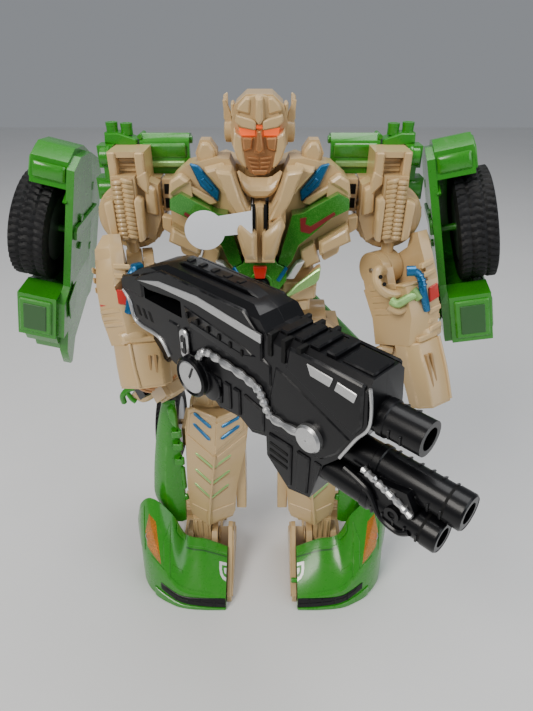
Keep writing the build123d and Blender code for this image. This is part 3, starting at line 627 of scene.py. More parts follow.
def gunSide(maker, s):
    def raised(outline, out, look, edge=0.3, share=0.96):
        maker.prism(outline, s * 7.4, s * (8 + out), look, edge, top=ringPlate(outline, share))

    raised([(4, 9), (9, 12.5), (21, 17.4), (61, 17.4), (68.6, 10.6), (68.6, 3), (62, 5.6), (30, 9.6),
        (12, 7.6)], 0.9, "black", 0.4, 0.985)
    raised([(31, 8.6), (61, 4.8), (67, 2.2), (66, -1), (50, -0.6), (33, 2.4)], 0.3, "black")
    # the ribs below use the near-black recess look: painted shade in the grooves
    for k in range(gunSettings["ribs"]):
        x = 33 + 5.2 * k
        raised([(x, 6.6 - 0.6 * k), (x + 1, 6.4 - 0.6 * k), (x + 1, 4.4 - 0.6 * k), (x, 4.6 - 0.6 * k)],
            0.7, "hole", 0.1)
    raised([(-5, 8), (8, 12), (8, 2.6), (-5.6, 2.4)], 0.5, "black", 0.5)
    raised([(33, 1.5), (66, -2), (72, -4), (72, 3), (68, 5), (60, 2.4), (34, 4)], 0.5, "black", 0.4)
    # near-black slots: painted shade
    for k in range(3):
        x = 2 + 3.7 * k
        raised([(x, -1.8), (x + 1.6, -1.8), (x + 3, -5.6), (x + 1.4, -5.6)], 0.15, "hole", 0.1)
    raised([(22, 0), (28, 0), (29, -12), (26, -16), (21, -12)], 0.5, "black", 0.5)
    for k in range(3):
        x = 45.5 + 4.6 * k
        raised([(x, -12), (x + 3.4, -12), (x + 3.4, -22.4), (x, -23)], 0.8, "black", 0.5)
    raised([(59.6, -12), (68.8, -14), (68.8, -23), (63, -25), (59.6, -22.6)], 0.7, "black", 0.5)
    raised([(70.6, -21), (80.6, -21), (80.6, -37.8), (79.4, -38.4), (70.6, -30.8)], 0.7, "black", 0.4)
    # near-black grooves: painted shade
    for k in range(3):
        z = -24 - 2.7 * k
        raised([(71.6, z), (79.4, z - 0.6), (79.4, z - 1.6), (71.6, z - 1)], 0.95, "hole", 0.1)
    raised([(82.4, -21), (87.6, -21), (87.2, -36.4), (82.4, -37.4)], 0.7, "black", 0.4)
    raised([(89, -21), (91.8, -21), (88.8, -35)], 0.5, "black", 0.3)
    raised([(77, 5.4), (101.6, -4.6), (104, -0.4), (103.2, 12.4), (88, 12.8), (78, 12.6)], 0.7, "black", 0.5)
    raised([(73, 4.4), (77, 3), (101, -6.4), (97, -14), (91.6, -19.6), (72, -19.6), (70.6, -8)], 0.35,
        "black", 0.4)
    # near-black slots: painted shade
    for x in (70.4, 75.6, 81.2):
        maker.box(x, x + 1.5, s * 5, s * 8.6, 6.6, 13.9, "hole", 0.15)
    maker.rod((43.5, s * 6, -17), (43.5, s * 9.4, -17), 5.6, "black", edge=0.5)
    maker.rod((37, s * 7, -15.5), (37, s * 10.2, -15.5), 7.6, "black", edge=0.5, steps=36)


def drawGun():
    near = Maker(gunFrame, "black")
    gunSide(near, -1)
    near.prism([(6.4, 9.6), (20, 13.4), (40, 14.8), (68.2, 12.4), (68.2, 9.6), (40, 11.8), (20, 11.2)],
        -9.2, -8.2, "silver", 0.15)
    near.prism([(85.2, 10.8), (94, 10.2), (93, 7.2), (86.6, 7.6)], -9.1, -8.2, "silver", 0.15)
    near.prism([(95.4, 9.9), (101.6, 9.2), (100.8, 6.2), (94.6, 7)], -9.1, -8.2, "silver", 0.15)
    near.hose([(-6.2, -7.4, 1.4), (-2.2, -7.8, -1.6), (-0.2, -7.9, -8), (4.6, -7.9, -9.8),
        (15.2, -7.9, -10.4), (20.6, -7.9, -16)], 0.95, "silver")
    capsule = [(31.3 + 2.3 * math.cos(a), (-2.6 if math.sin(a) > 0 else -9.6) + 2.3 * math.sin(a))
        for a in [math.pi * k / 8 for k in range(16)]]
    near.prism(capsule, -9.3, -8, "silver", 0.4)
    near.prism(ringPlate(capsule, 0.62), -9.6, -8.4, "black", 0.2)
    near.prism(ringPlate(capsule, 0.2), -10, -8.4, "silver", 0.1)
    near.lathe([(0.4, 0), (6.0, 0), (6.0, 0.35), (5.6, 0.6), (0.4, 0.6)], "silver", (37, -11.5, -15.5),
        (37, -12, -15.5))
    near.prism([(36.6, -15), (37.4, -15.4), (39.4, -10.9), (38.8, -10.6)], -12.4, -11.8, "black", 0.1)
    near.lathe([(7.4, 0), (7.4, 1.6), (6.6, 2.2), (6.1, 1.6), (6.1, 0)], "black", (37, -10.2, -15.5),
        (37, -11, -15.5))
    near.hose([(38.6, -9, -8.6), (40.6, -9, -5.4), (43.6, -9, -4), (50, -9, -4.2), (60, -9, -4.8),
        (66.6, -9, -6.4), (69, -9, -9), (71, -9, -12.4), (74, -9, -14), (83.6, -9, -13.6)], 0.85,
        "silver", beads=gunSettings["beads"], swell=0.65)
    near.lathe([(0.2, 0), (4.5, 0), (4.5, 1.5), (3.9, 2.3), (0.2, 2.6)], "silver", (87.5, -8.2, -13),
        (87.5, -9, -13), 32)
    near.hose([(104.2, -7.6, 11.6), (105.4, -7.8, 6), (105.2, -7.8, 0), (102, -8, -5.4),
        (97.6, -8, -14.4)], 0.5, "silver")
    near.finish("gunNearTrim", "gun", slot="black")

    far = Maker(gunFrame, "black")
    gunSide(far, 1)
    far.finish("gunFarTrim", "gun", slot="black")

    top = Maker(gunFrame, "black")
    top.prism([(22, 18.4), (26, 20.2), (56, 20.2), (61, 18.4)], -2.4, 2.4, "black", 0.5)
    for x in (71.9, 77.2, 82.8, 88.4):
        top.box(x, x + 3.4, -5.4, 5.4, 12.6, 14.6, "black", 0.4)
    top.box(93, 103, -4.6, 4.6, 12.4, 13.7, "black", 0.4)
    for k in range(5):
        top.box(26 + 6 * k, 28 + 6 * k, -1.4, 1.4, 20, 20.6, "black", 0.2)
    top.finish("gunTopTrim", "gun", slot="black")

    tubes = Maker(gunFrame, "black")
    for x0, x1, y, z, r, notch in ((104, 118, 0, -0.3, 5, 0), (104, 131.5, 0, -15.7, 4.85, 126.6),
            (104, 128, -3.5, -24.5, 4.4, 123.4)):
        tubes.lathe([(r + 0.05, 0), (r + 0.45, 0.3), (r + 0.45, 2.2), (r + 0.05, 2.5)], "black",
            (x0 + 1, y, z), (x0 + 2, y, z))
        for k in range(int((x1 - x0 - 6) / 3.4)):
            for a in (100, 215, 330):
                spin = turned((x0 + 5 + 3.4 * k, y, z), ("X", a))
                tubes.box(0, 0.6, -1.5, 1.5, r - 0.3, r + 0.35, "black", 0.1, where=spin)
        if notch:
            tubes.lathe([(r + 0.3, 0), (r + 0.3, x1 - notch - 0.9), (r - 0.1, x1 - notch - 0.4),
                (r - 0.1, 0)], "black", (notch + 0.5, y, z), (notch + 1, y, z))
            # a thin near-black ring in the notch: painted shade
            tubes.lathe([(r + 0.06, 0), (r + 0.06, 0.7), (r - 0.2, 0.7), (r - 0.2, 0)], "hole",
                (notch - 0.3, y, z), (notch + 1, y, z))
    tubes.hose([(99, -7.2, -17.6), (104, -7.4, -18.6), (108, -7.6, -20.4), (112, -7.6, -26),
        (117.6, -7.6, -27.4), (121, -7.6, -25)], 1.0, "black")
    tubes.hose([(104, -6.4, -15), (109, -7, -15.8), (115, -7.2, -17.6), (120.6, -7, -20.4)], 0.7,
        "silver", beads=9, swell=0.5)
    tubes.lathe([(1.1, 0), (2.2, 0), (2.2, 1.2), (1.1, 1.2)], "black", (115.4, -7, -22.6),
        (115.4, -8, -22.6), 20)
    tubes.finish("gunBarrelTrim", "gun", slot="black")


drawGun()
print("gun made")


# chest, belly and waist
def pane(maker, s, outline, back, front, look, edge=0.4, share=1.0):
    shape = across(outline, s)
    maker.prism(shape, back, front, look, edge, top=ringPlate(shape, share) if share != 1 else None)


def drawTorso(maker, s):
    pane(maker, s, [(9.6, 217.2), (15.4, 217.9), (11, 206.6), (7.4, 200.6), (2.9, 199.4), (6.6, 207)],
        -21, -23.4, "beige", 0.6, 0.94)
    pane(maker, s, [(1, 196.4), (7.7, 202.4), (9.2, 199.2), (5.3, 185.8), (0.9, 185.5)], -25.4, -27.6,
        "beige", 0.5, 0.62)
    # a near-black strip in the chest slot: painted shade
    pane(maker, s, [(1.5, 196.4), (2.7, 196.4), (2.7, 205.8), (1.5, 205.8)], -21.6, -22.35, "hole", 0)
    pane(maker, s, [(25.4, 218), (22, 217.2), (14.7, 208.1), (15.4, 204), (21.8, 209.8), (23.4, 213.4)],
        -11.6, -13.4, "blue", 0.5)
    pane(maker, s, [(20.4, 213), (21.6, 212.2), (17.8, 208.2), (16.8, 209.2)], -13.2, -13.9, "blue", 0.3)
    pane(maker, s, [(12.6, 218.6), (20.8, 216.6), (13.8, 208.6), (12, 206)], -11.8, -16.2, "beige", 0.7, 0.8)
    pane(maker, s, [(15.8, 218.4), (21.8, 216.6), (23, 220.4), (21.2, 224.6), (18.2, 224.6),
        (15.8, 221.4)], -7, -9.6, "beige", 0.7, 0.86)
    # a darker beige plate under the raised strip: painted shade
    pane(maker, s, [(17, 204.2), (29.4, 211.4), (31.8, 207.6), (20.4, 200.2)], -11.8, -12.5, "beigeDeep", 0.2)
    pane(maker, s, [(15.6, 203.8), (17.2, 205.8), (27.6, 211.8), (28.4, 210), (18.4, 203.2)], -11.8,
        -14.6, "beige", 0.5)
    pane(maker, s, [(24.6, 212), (28.6, 215), (32.8, 212.4), (33.4, 206.4), (29.6, 209.2)], -11.8, -16.4,
        "beige", 0.8, 0.88)
    pane(maker, s, [(14.8, 199.8), (17.2, 200.2), (16.8, 197.6), (18.8, 196.8), (27.2, 202.2),
        (27.8, 201.2), (18.6, 194), (15.2, 194.8)], -18.6, -19.2, "darkRed", 0)
    pane(maker, s, [(22.6, 189.8), (33, 196.2), (34.4, 190.4), (23, 184.9)], -16.6, -18.8, "beige", 0.6, 0.84)
    pane(maker, s, [(33.4, 197.2), (37.4, 198.2), (37.6, 193), (34.2, 190.8)], -6.6, -11, "beige", 0.5)
    pane(maker, s, [(22.8, 185.4), (31.4, 189.2), (30.8, 184.4), (24.8, 180.8)], -11.6, -14.4, "beige",
        0.6, 0.9)
    pane(maker, s, [(14.8, 186), (21, 189.8), (22.6, 184), (23.6, 181.2), (17.4, 177.8)], -11.8, -15.8,
        "beige", 0.6, 0.88)
    pane(maker, s, [(14.2, 181.2), (17.4, 182.5), (13.4, 174.9), (9.8, 174.9)], -13, -17.6, "pearl", 0.4)
    maker.hose([(10.2 * s, -19.6, 180.8), (8.8 * s, -19.8, 178.4), (7 * s, -19.8, 175.4)], 0.85, "blue")
    pane(maker, s, [(8, 165.9), (14, 173), (22.1, 179.7), (23.8, 180.6), (23.4, 175.4), (21.9, 173.4)],
        -17.6, -19.2, "lime", 0.4, 0.9)
    pane(maker, s, [(9.8, 164.2), (22.4, 165.2), (22.6, 171.6), (16, 171), (9.9, 167)], -13.6, -15.8,
        "beige", 0.6, 0.9)
    pane(maker, s, [(5.8, 159), (20, 159.9), (20, 164.4), (9.6, 163.2), (5.8, 161.6)], -13.6, -15,
        "beige", 0.5, 0.92)
    pane(maker, s, [(5.4, 150), (11.6, 154), (11.6, 143), (7, 136)], -10.8, -13, "beige", 0.5, 0.8)
    pane(maker, s, [(0.6, 205), (1.3, 205), (1.3, 187), (0.6, 187)], -21.8, -22.3, "beige", 0.2)


def drawBack(maker, s):
    pane(maker, s, [(15.6, 190), (25.4, 190), (25.4, 205), (21.6, 212), (15.6, 212)], 16.8, 19, "beige",
        0.7, 0.86)
    pane(maker, s, [(3, 176), (19.4, 178.6), (23.6, 187), (4, 187)], 16.8, 18.4, "beige", 0.6, 0.9)
    for k in range(4):
        pane(maker, s, [(3.6, 191.2 + 3.2 * k), (11.6, 191.2 + 3.2 * k), (11.6, 192.6 + 3.2 * k),
            (3.6, 192.6 + 3.2 * k)], 16.8, 17.7, "beige", 0.3)
    # the vent lines on the back are near-black strips: painted shade
    for k in range(3):
        pane(maker, s, [(6, 178 + 2.6 * k), (15 + 1.2 * k, 178 + 2.6 * k), (15 + 1.2 * k, 179 + 2.6 * k),
            (6, 179 + 2.6 * k)], 18, 18.6, "hole", 0)
    pane(maker, s, [(12.4, 160), (19.6, 160.6), (22, 171), (12.4, 170)], 11.6, 13.8, "beige", 0.5, 0.88)


torso = Maker(home, "beige")
for s in (1, -1):
    drawTorso(torso, s)
    drawBack(torso, s)
torso.prism([(-2.7, 181.8), (2.7, 181.8), (1.9, 176.8), (-1.9, 176.8)], -19.8, -21.8, "red", 0.4)
torso.prism([(-4.6, 186), (4.6, 186), (6, 183), (-6, 183)], -19.4, -21, "beige", 0.5)
torso.lathe([(3.0, 0), (3.9, 0), (3.6, 0.9), (3.0, 0.9)], "black", (0, -19.9, 173.6), (0, -21, 173.6), 32)
torso.lathe([(3.9, 0), (5.2, 0), (4.9, 0.6), (3.9, 0.6)], "sparkle", (0, -19.9, 173.6), (0, -21, 173.6), 32)
torso.prism([(-8.6, 216.6), (-4, 213.4), (4, 213.4), (8.6, 216.6), (8, 210), (3.6, 206.4), (-3.6, 206.4),
    (-8, 210)], -11.6, -16.8, "beige", 0.9, top=[(-7, 213), (-3.4, 210), (3.4, 210), (7, 213), (6, 209),
    (3, 206.4), (-3, 206.4), (-6, 209)])
# the darker beige ring round the neck is painted shade
torso.lathe([(4.4, 0), (6.4, 0), (6, 2), (4.4, 2)], "beigeDeep", (0, 0, 211.6), (0, 0, 214), 28)
# the side slots are near-black strips: painted shade
for s in (1, -1):
    for z in (199, 204.4):
        torso.box(*sorted((34.3 * s, 36.9 * s)), -3.3, -2.8, z, z + 3.8, "hole", 0)
        torso.box(*sorted((34.3 * s, 36.9 * s)), 5.8, 6.2, z, z + 3.8, "hole", 0)
torso.finish("torsoTrim", "torso", slot="beige")

buttonTop = Maker(home, "black")
buttonTop.lathe([(0.1, 0), (2.7, 0), (2.5, 0.5), (1.6, 0.95), (0.1, 1.1)], "black", (0, -21.5, 173.6),
    (0, -23, 173.6), 28)
buttonTop.finish("buttonTop", "button", slot="black")


# head: a plain helmet with ear discs, side fins, an eye band and a face plate
def drawHead(maker, s):
    pane(maker, s, [(0.7, 231.8), (3, 232.8), (8.2, 234.2), (8.7, 231.6), (6.6, 229.8), (1, 228.6)],
        -10.6, -13.4, "beige", 0.4, 0.88)
    pane(maker, s, [(6, 227.6), (9.2, 229.8), (9.9, 224), (8.2, 218.8), (5.6, 215.4), (4.2, 214.8),
        (5.2, 220.4)], -8.6, -12.6, "beige", 0.5, 0.8)
    pane(maker, s, [(2.6, 239.4), (4.6, 239.6), (7.6, 236.6), (8.2, 234.6), (3, 233.2)], -8.8, -12,
        "beige", 0.5, 0.82)
    maker.lathe([(1.2, 0), (3.9, 0), (3.9, 0.9), (3.1, 1.3), (2.6, 0.7), (1.2, 0.7)], "beige",
        (11.6 * s, -1, 227), (12.6 * s, -1, 227), 28)
    maker.lathe([(0.1, 0), (1.3, 0), (1.2, 1.2), (0.1, 1.4)], "copper", (11.6 * s, -1, 227),
        (12.6 * s, -1, 227), 20)
    maker.prism([(-3.4, 230), (1.4, 229.4), (1, 239.6), (-1.4, 240)], 11.4 * s, 13 * s, "beige", 0.4,
        axes="yz", top=[(-2.6, 231), (0.6, 230.6), (0.4, 238.6), (-1, 239)])
    maker.prism([(2.6, 221), (7.6, 222), (7.6, 234), (3.4, 236.4)], 9.4 * s, 10.6 * s, "beige", 0.4,
        axes="yz")
    maker.prism([(-8, 232.6), (-2.8, 233), (-3.6, 237.6), (-8, 237)], 8.8 * s, 10 * s, "beige", 0.4,
        axes="yz")
    for k in range(3):
        pane(maker, s, [(2.2, 222 + 4 * k), (6.4, 222.6 + 4 * k), (6.4, 224.6 + 4 * k),
            (2.2, 224 + 4 * k)], 7.8, 8.7, "beige", 0.3)


head = Maker(home, "beige")
for s in (1, -1):
    drawHead(head, s)
head.prism([(-1.5, 240), (1.5, 240), (2.2, 232), (0, 229.6), (-2.2, 232)], -10.8, -13.8, "beige", 0.5,
    top=[(-0.9, 239), (0.9, 239), (1.2, 232.4), (0, 230.8), (-1.2, 232.4)])
head.prism([(-1, 239), (1, 239), (1.2, 222), (-1.2, 222)], 7.8, 9, "beige", 0.4)
head.finish("headTrim", "head", slot="beige")
face = Maker(home, "copper")
face.prism([(-1.6, 229.4), (1.6, 229.4), (2.1, 222.4), (0, 220.8), (-2.1, 222.4)], -11, -14.4, "copper",
    0.4, top=[(-0.5, 228.8), (0.5, 228.8), (1.2, 222.6), (0, 221.6), (-1.2, 222.6)])
for s in (1, -1):
    pane(face, s, [(2, 226.8), (6.4, 227), (5.8, 221.6), (2.6, 222.4)], -11.8, -13.2, "copper", 0.4, 0.8)
    pane(face, s, [(1, 229), (1.8, 230.4), (7.4, 230.6), (7.4, 229.8), (2, 228.8)], -10.8, -12.4,
        "copper", 0.2)
    for k in range(3):
        pane(face, s, [(0.3, 219.7 - 1.5 * k), (4.4 - 0.5 * k, 220.1 - 1.5 * k),
            (4.2 - 0.5 * k, 219.3 - 1.5 * k), (0.3, 218.9 - 1.5 * k)], -11.8, -12.9, "copper", 0.2)
face.prism([(-3, 215.6), (3, 215.6), (2.2, 213.8), (-2.2, 213.8)], -11.6, -13.2, "copper", 0.4)
face.finish("faceTrim", "head", slot="copper")
print("torso and head made")


# arms: the rope ridges, ribs, hoses and patches
armSettings = {"ropeRows": 13, "rimNotches": 26}


def drawUpperArm(maker, side):
    # a darker beige plate behind the rope ridges: painted shade
    maker.prism(rect(46.6, 54.2, 189.6, 212.6), -12.2, -13.2, "beigeDeep", 0.3)
    for k in range(armSettings["ropeRows"]):  # two columns of twisted ridges
        z = 190.4 + 1.72 * k
        for x0, lean in ((47.2, 1), (50.5, -1)):
            maker.hose([(x0, -12.9, z), (x0 + 1.6, -14.3, z + 0.3 + 0.5 * (lean > 0)),
                (x0 + 3.1, -12.9, z + (0.9 if lean > 0 else -0.1))], 0.92, "beige", 8)
    maker.prism([(44.2, 189.4), (46.6, 188.4), (46.8, 204.6), (45.6, 206.4), (43.6, 204.6)], -8, -14.6,
        "beige", 0.9, segments=2)
    maker.prism([(54.2, 188.8), (57.4, 189.8), (58.2, 203.8), (54.4, 205)], -8, -14.2, "beige", 0.9,
        segments=2)
    maker.prism([(38.8, 196.6), (38.8, 208.8), (43.4, 211), (44.4, 198)], -6, -10.4, "beige", 0.9,
        top=[(39.4, 198), (39.4, 207.4), (42.6, 209), (43.4, 199.4)], segments=2)
    maker.prism([(42.2, 211.4), (45.4, 211.4), (45.4, 221), (42.2, 221)], -8.6, -10.4, "beige", 0.5)
    maker.prism([(52.6, 211.4), (55.4, 211.4), (55.4, 221), (52.6, 221)], -8.6, -10, "beige", 0.5)
    maker.prism([(41.4, 205.4), (45.8, 209.8), (45.8, 212.6), (42, 214.6), (41.2, 211)], -7.6, -10.8,
        "beige", 0.6)
    for k in range(3):
        maker.prism(rect(45.8, 52.4, 213.4 + 1.9 * k, 214.4 + 1.9 * k), -4.6, -5.8, "beige", 0.2)
    maker.lathe([(12.3, -5.2), (12.9, -4.6), (12.9, 7.4), (12.3, 8), (10.6, 8.4), (10.6, -5.6)], "beige",
        (50.5, 0, 196), (50.5, 1, 196), 44)
    for k in range(armSettings["rimNotches"]):
        a = 360 * k / armSettings["rimNotches"]
        if not 20 < (a % 360) < 160:
            notch = Matrix.Translation((50.5, 0, 196)) @ Matrix.Rotation(math.radians(-a), 4, "Y")
            maker.box(12.5, 13.3, -3.6, 5.6, -0.5, 0.5, "beige", 0.2, where=notch)
    maker.prism([(44, 190), (57, 190), (58.4, 200), (44, 200)], 7.6, 9.6, "beige", 0.8,
        top=[(46, 192), (55, 192), (56, 198.6), (46, 198.6)])
    for k in range(4):
        maker.prism(rect(44, 54.4, 203.4 + 3.6 * k, 204.8 + 3.6 * k), 5.2, 6.2, "beige", 0.3)
    for x in (45.2, 53):
        maker.rod((x, 5.2, 219), (x, 6.2, 219), 1.2, "steel", edge=0.2, steps=14)


def drawRoof(maker, side):
    maker.prism([(47.4, 222.8), (53.9, 225), (59.2, 225), (59.6, 221.6), (47.4, 219.6)], 4.8, 6, "green", 0.4)
    maker.prism([(48, 214), (56.6, 214), (59, 217.6), (48, 218.6)], 4.6, 6, "green", 0.4)
    for x, z in ((51.4, 227.8), (57, 228.2)):
        maker.lathe([(0.1, 0), (1.1, 0), (1.3, 0.3), (2.3, 0.3), (2.3, -1), (0.1, -1)], "green",
            (x, 9, z), (x, 9, z + 1), 20)
    for z, far in ((217.4, 61), (205.5, 63)):
        maker.hose([(55.8, 1.6, z), (far - 0.6, 1.6, z)], 3.6, "green", 16)
        maker.lathe([(3.7, 0), (4.1, 0.3), (4.1, 1.1), (3.7, 1.4)], "green", (56.6, 1.6, z),
            (57.6, 1.6, z), 24)


def drawFlap(maker, side):
    maker.prism([(5.9, 215.4), (5.9, 222), (9, 224.5), (9.6, 222.8), (7, 221.4), (7, 215.4)], 27.8, 46,
        "green", 0.4, axes="yz")
    maker.prism([(5.2, 216.4), (4.6, 220.8), (6, 221.6), (6, 215.8)], 28.6, 45.6, "green", 0.5, axes="yz")
    maker.prism([(6.4, 212.2), (5, 212.8), (5, 214.6), (6.2, 215.2)], 29.4, 45, "lime", 0.3, axes="yz")
    maker.prism([(28.8, 209.6), (43, 209.6), (44.4, 212.4), (28, 212.4)], 6.6, 8, "green", 0.3)
    maker.rod((26.4, 10, 222), (28.6, 10, 222), 1.5, "green", edge=0.4, steps=16)


def drawForearm(maker, side):
    def around(z, share):  # the arm's outline at a height
        more = armPose[side]["spread"]
        full = [(-7.4, -17), (6.8, -19), (12 + more, -11.4), (11 + more, 3), (5, 6), (-7.4, 6)]
        slim = [(-8.6, -14), (5, -16), (11 + more / 2, -9), (10 + more / 2, 2), (5, 4), (-8.6, 5)]
        points = []
        for a, b in zip(full, slim):
            x, y = a[0] * (1 - share) + b[0] * share, a[1] * (1 - share) + b[1] * share
            points.append((x, y, z))
        return points

    def band(z, depth, share, out, look, first=1, last=4):  # a raised band round the outer front
        low, high = around(z, share), around(z + depth, share - 0.06)
        part = []
        for row, swell in ((low, 0.2), (low, out), (high, out), (high, 0.2)):
            part.append([])
            for x, y, height in row[first:last]:
                part[-1].append((x + (swell if x > 0 else -swell), y + (swell if y > 0 else -swell), height))
        solid = bmesh.new()
        grid = [[solid.verts.new(p) for p in row] for row in part]
        for a, b in zip(grid, grid[1:] + grid[:1]):
            for i in range(len(a) - 1):
                solid.faces.new((a[i], a[i + 1], b[i + 1], b[i]))
        for end in (0, -1):
            solid.faces.new([row[end] for row in grid])
        maker.add(solid, look, 0.4)

    for z, share in ((-2.6, 0.0), (-6.4, 0.0), (-10.2, 0.1)):
        band(z, 2.4, share, 1.0, "beige", 2, 4)
    band(-15.4, 4.6, 0.3, 0.45, "red", 1, 4)
    maker.prism([(1.6, -16.2), (7.2, -15.2), (7.4, -9.6), (2.6, -10.6)], -17.4, -19.3, "red", 0.3)
    for z in (-1.6, -5.2, -19.4, -23.2, -26.6) if side == "left" else (-1.6, -5.2):
        maker.prism([(0.6, z - 1.4), (7.4, z - 0.6), (7.6, z + 1.6), (1.2, z + 0.8)], -16.6,
            -19.2 if z > -22 else -17.9, "beige", 0.5)
    for z, share in ((-18.4, 0.4), (-21, 0.55), (-23.6, 0.7)):
        band(z, 1.7, share, 0.9, "beige", 1, 4)
    maker.prism([(-2.4, -31), (8.6, -31), (9.6, -26), (3, -24.6), (-2.4, -26)], -15.4, -17.2, "beige",
        0.6, top=[(0, -30), (7, -30), (7.6, -27), (3, -26), (0, -27)])
    inward = 5.6 if side == "left" else 1.5
    maker.hose([(x - inward, y, z) for x, y, z in ((-0.6, -18.6, -2.4), (1.8, -20, -3.2),
        (3.2, -20.4, -6.4), (3.6, -20, -11), (4.8, -19, -16.4), (5.6, -18.2, -18.6))], 1.5, "blue", 12)
    maker.hose([(-0.8 - inward, -17.8, -2), (1.6 - inward, -20, -2.6)], 2.0, "blue", 12)
    for k in range(3):
        p = [(2.7, -20.5, -4.6), (3.3, -20.6, -6.6), (3.5, -20.4, -8.6)][k]
        maker.lathe([(1.5, -0.35), (1.9, 0), (1.5, 0.35)], "blue", (p[0] - inward, p[1] + 0.1, p[2]),
            (p[0] + 0.3 - inward, p[1] + 0.1, p[2] - 2), 14)
    maker.lathe([(0.1, 0), (5.2, 0), (6.2, 1.0), (6.6, 2.2), (6.6, 3.4), (0.1, 3.4)], "beige",
        (-4.2, 0, 0), (-10, 0, 0), 36)
    maker.lathe([(0.1, 0), (1.1, 0), (0.9, 0.5), (0.1, 0.5)], "steel", (-7.6, 0, 0), (-9, 0, 0), 16)
    maker.prism([(-8.6, -16.6), (-2, -18.8), (-2, -12), (-7.4, -10.6)], -8, -6.6, "beige", 0.5, axes="xy")
    if side == "left":  # the open ring with its holes and the green hook
        maker.hose([(-8, -7, -1), (-11.6, -8.6, 0.4), (-14.4, -9.4, -3), (-13.6, -10.6, -7.4),
            (-9.4, -11.8, -10.2), (-4, -13.4, -10.4)], 1.9, "beige", 12)
        # the two holes in the ring are near-black discs: painted shade
        for p in ((-13.9, -11.4, -2), (-13.6, -12.4, -5)):
            maker.lathe([(0.1, 0), (0.8, 0), (0.8, 0.3), (0.1, 0.3)], "hole", p,
                (p[0] - 0.3, p[1] - 1, p[2]), 12)
        maker.hose([(-11.4, -12.4, -12), (-10.6, -14.6, -13.4), (-7, -16.4, -12.2), (-3.6, -17.8, -11.6)],
            1.7, "lime", 12)
        maker.hose([(-4.4, -17.4, -9.4), (-3, -18.6, -13.6)], 1.7, "lime", 12)
        maker.hose([(-12, -10.4, -14), (-9, -12.6, -16.6), (-5.6, -14.6, -15.4)], 1.7, "beige", 12)
    for k in range(3):
        maker.prism([(-7.9, -6 - 5 * k), (-7.2, -6 - 5 * k), (-7.2, -8.6 - 5 * k), (-7.9, -8.6 - 5 * k)],
            -12, 3, "beige", 0.25)
    for k in range(3):
        maker.box(-5, 3.6, 5.2 - 0.5 * k, 7.6 - 0.7 * k, -12.6 - 5 * k, -9.6 - 5 * k, "beige", 0.5)


def drawCuff(maker, side):
    length = armPose[side]["cuff"]
    top, low = -30.6, -30.6 - length
    half = (top + low) / 2
    maker.loft([[(-8.9, -6.4, top), (-8.9, -12.2, top), (-5.5, -16.4, top), (5, -17.4, top),
        (11.7, -9.6, top), (11.7, 1, top), (9.5, 1, top), (9.5, -8, top), (4, -14.4, top),
        (-4.6, -13.4, top), (-6.5, -11, top), (-6.5, -6.4, top)],
        [(-9.5, -7.6, half), (-9.5, -13.2, half), (-6.2, -18.4, half), (4.4, -19, half),
        (11.4, -10.8, half), (11.4, -1, half), (9.2, -1, half), (9.1, -9, half), (3.4, -16.2, half),
        (-5, -15.2, half), (-6.9, -12.2, half), (-6.9, -7.6, half)],
        [(-9.7, -9.6, low), (-9.7, -14.2, low), (-6.6, -19.3, low), (3.2, -19.9, low), (10.7, -11.6, low),
        (10.7, -4, low), (8.3, -4, low), (8.3, -10.4, low), (2, -17.2, low), (-5.4, -16.4, low),
        (-7.3, -13, low), (-7.3, -9.6, low)]], "beige", 0.6)
    maker.hose([(4.9, -17.4, top), (4.2, -19, half), (3, -19.8, low + 0.6)], 0.7, "beige", 8)
    maker.prism([(-5.2, top), (4.8, top), (4.8, top + 2.2), (-5.2, top + 2.2)], -14, -17.3, "beige", 0.5)
    # two darker beige ribs down the cuff front: painted shade
    for x in (-4.6, -2.4):
        maker.prism([(x, top - 5), (x + 1.1, top - 5), (x + 1.1, low + 3), (x, low + 3)], -16, -18.9,
            "beigeDeep", 0.2)


def drawFist(maker, side):
    s = -1 if side == "right" else 1
    for k in range(4):  # knuckles and curled fingers round the grip
        y = -6.6 + 3.5 * k
        ring = [(7.9 * math.cos(math.radians(a)) * s, y + 1.3, 7.9 * math.sin(math.radians(a)))
            for a in range(-120, 61, 20)]
        maker.hose(ring, 1.25, "copper", 10)
        maker.box(*sorted((-7.2 * s, 2 * s)), y - 0.2, y + 2.8, -14, -8.6, "beige", 0.6)
    maker.prism([(-7.6 * s, -12.6), (-4.6 * s, -12.6), (-4 * s, 2.6), (-6.8 * s, 3.4)], -6, 6, "beige", 0.7)
    maker.lathe([(2.6, 0), (3.6, 0), (3.4, 0.7), (2.6, 0.7)], "beige", (0, -6.8, 0), (0, -8, 0), 28)
    maker.lathe([(2.6, 0), (3.6, 0), (3.4, 0.7), (2.6, 0.7)], "beige", (0, 6.8, 0), (0, 8, 0), 28)
    maker.hose([(-5.4 * s, -5.2, 2.4), (-3 * s, -7.4, 5.4), (2.4 * s, -7.6, 5.6)], 1.6, "beige", 10)


def drawLowerArm(maker, side):
    drawForearm(maker, side)
    drawCuff(maker, side)


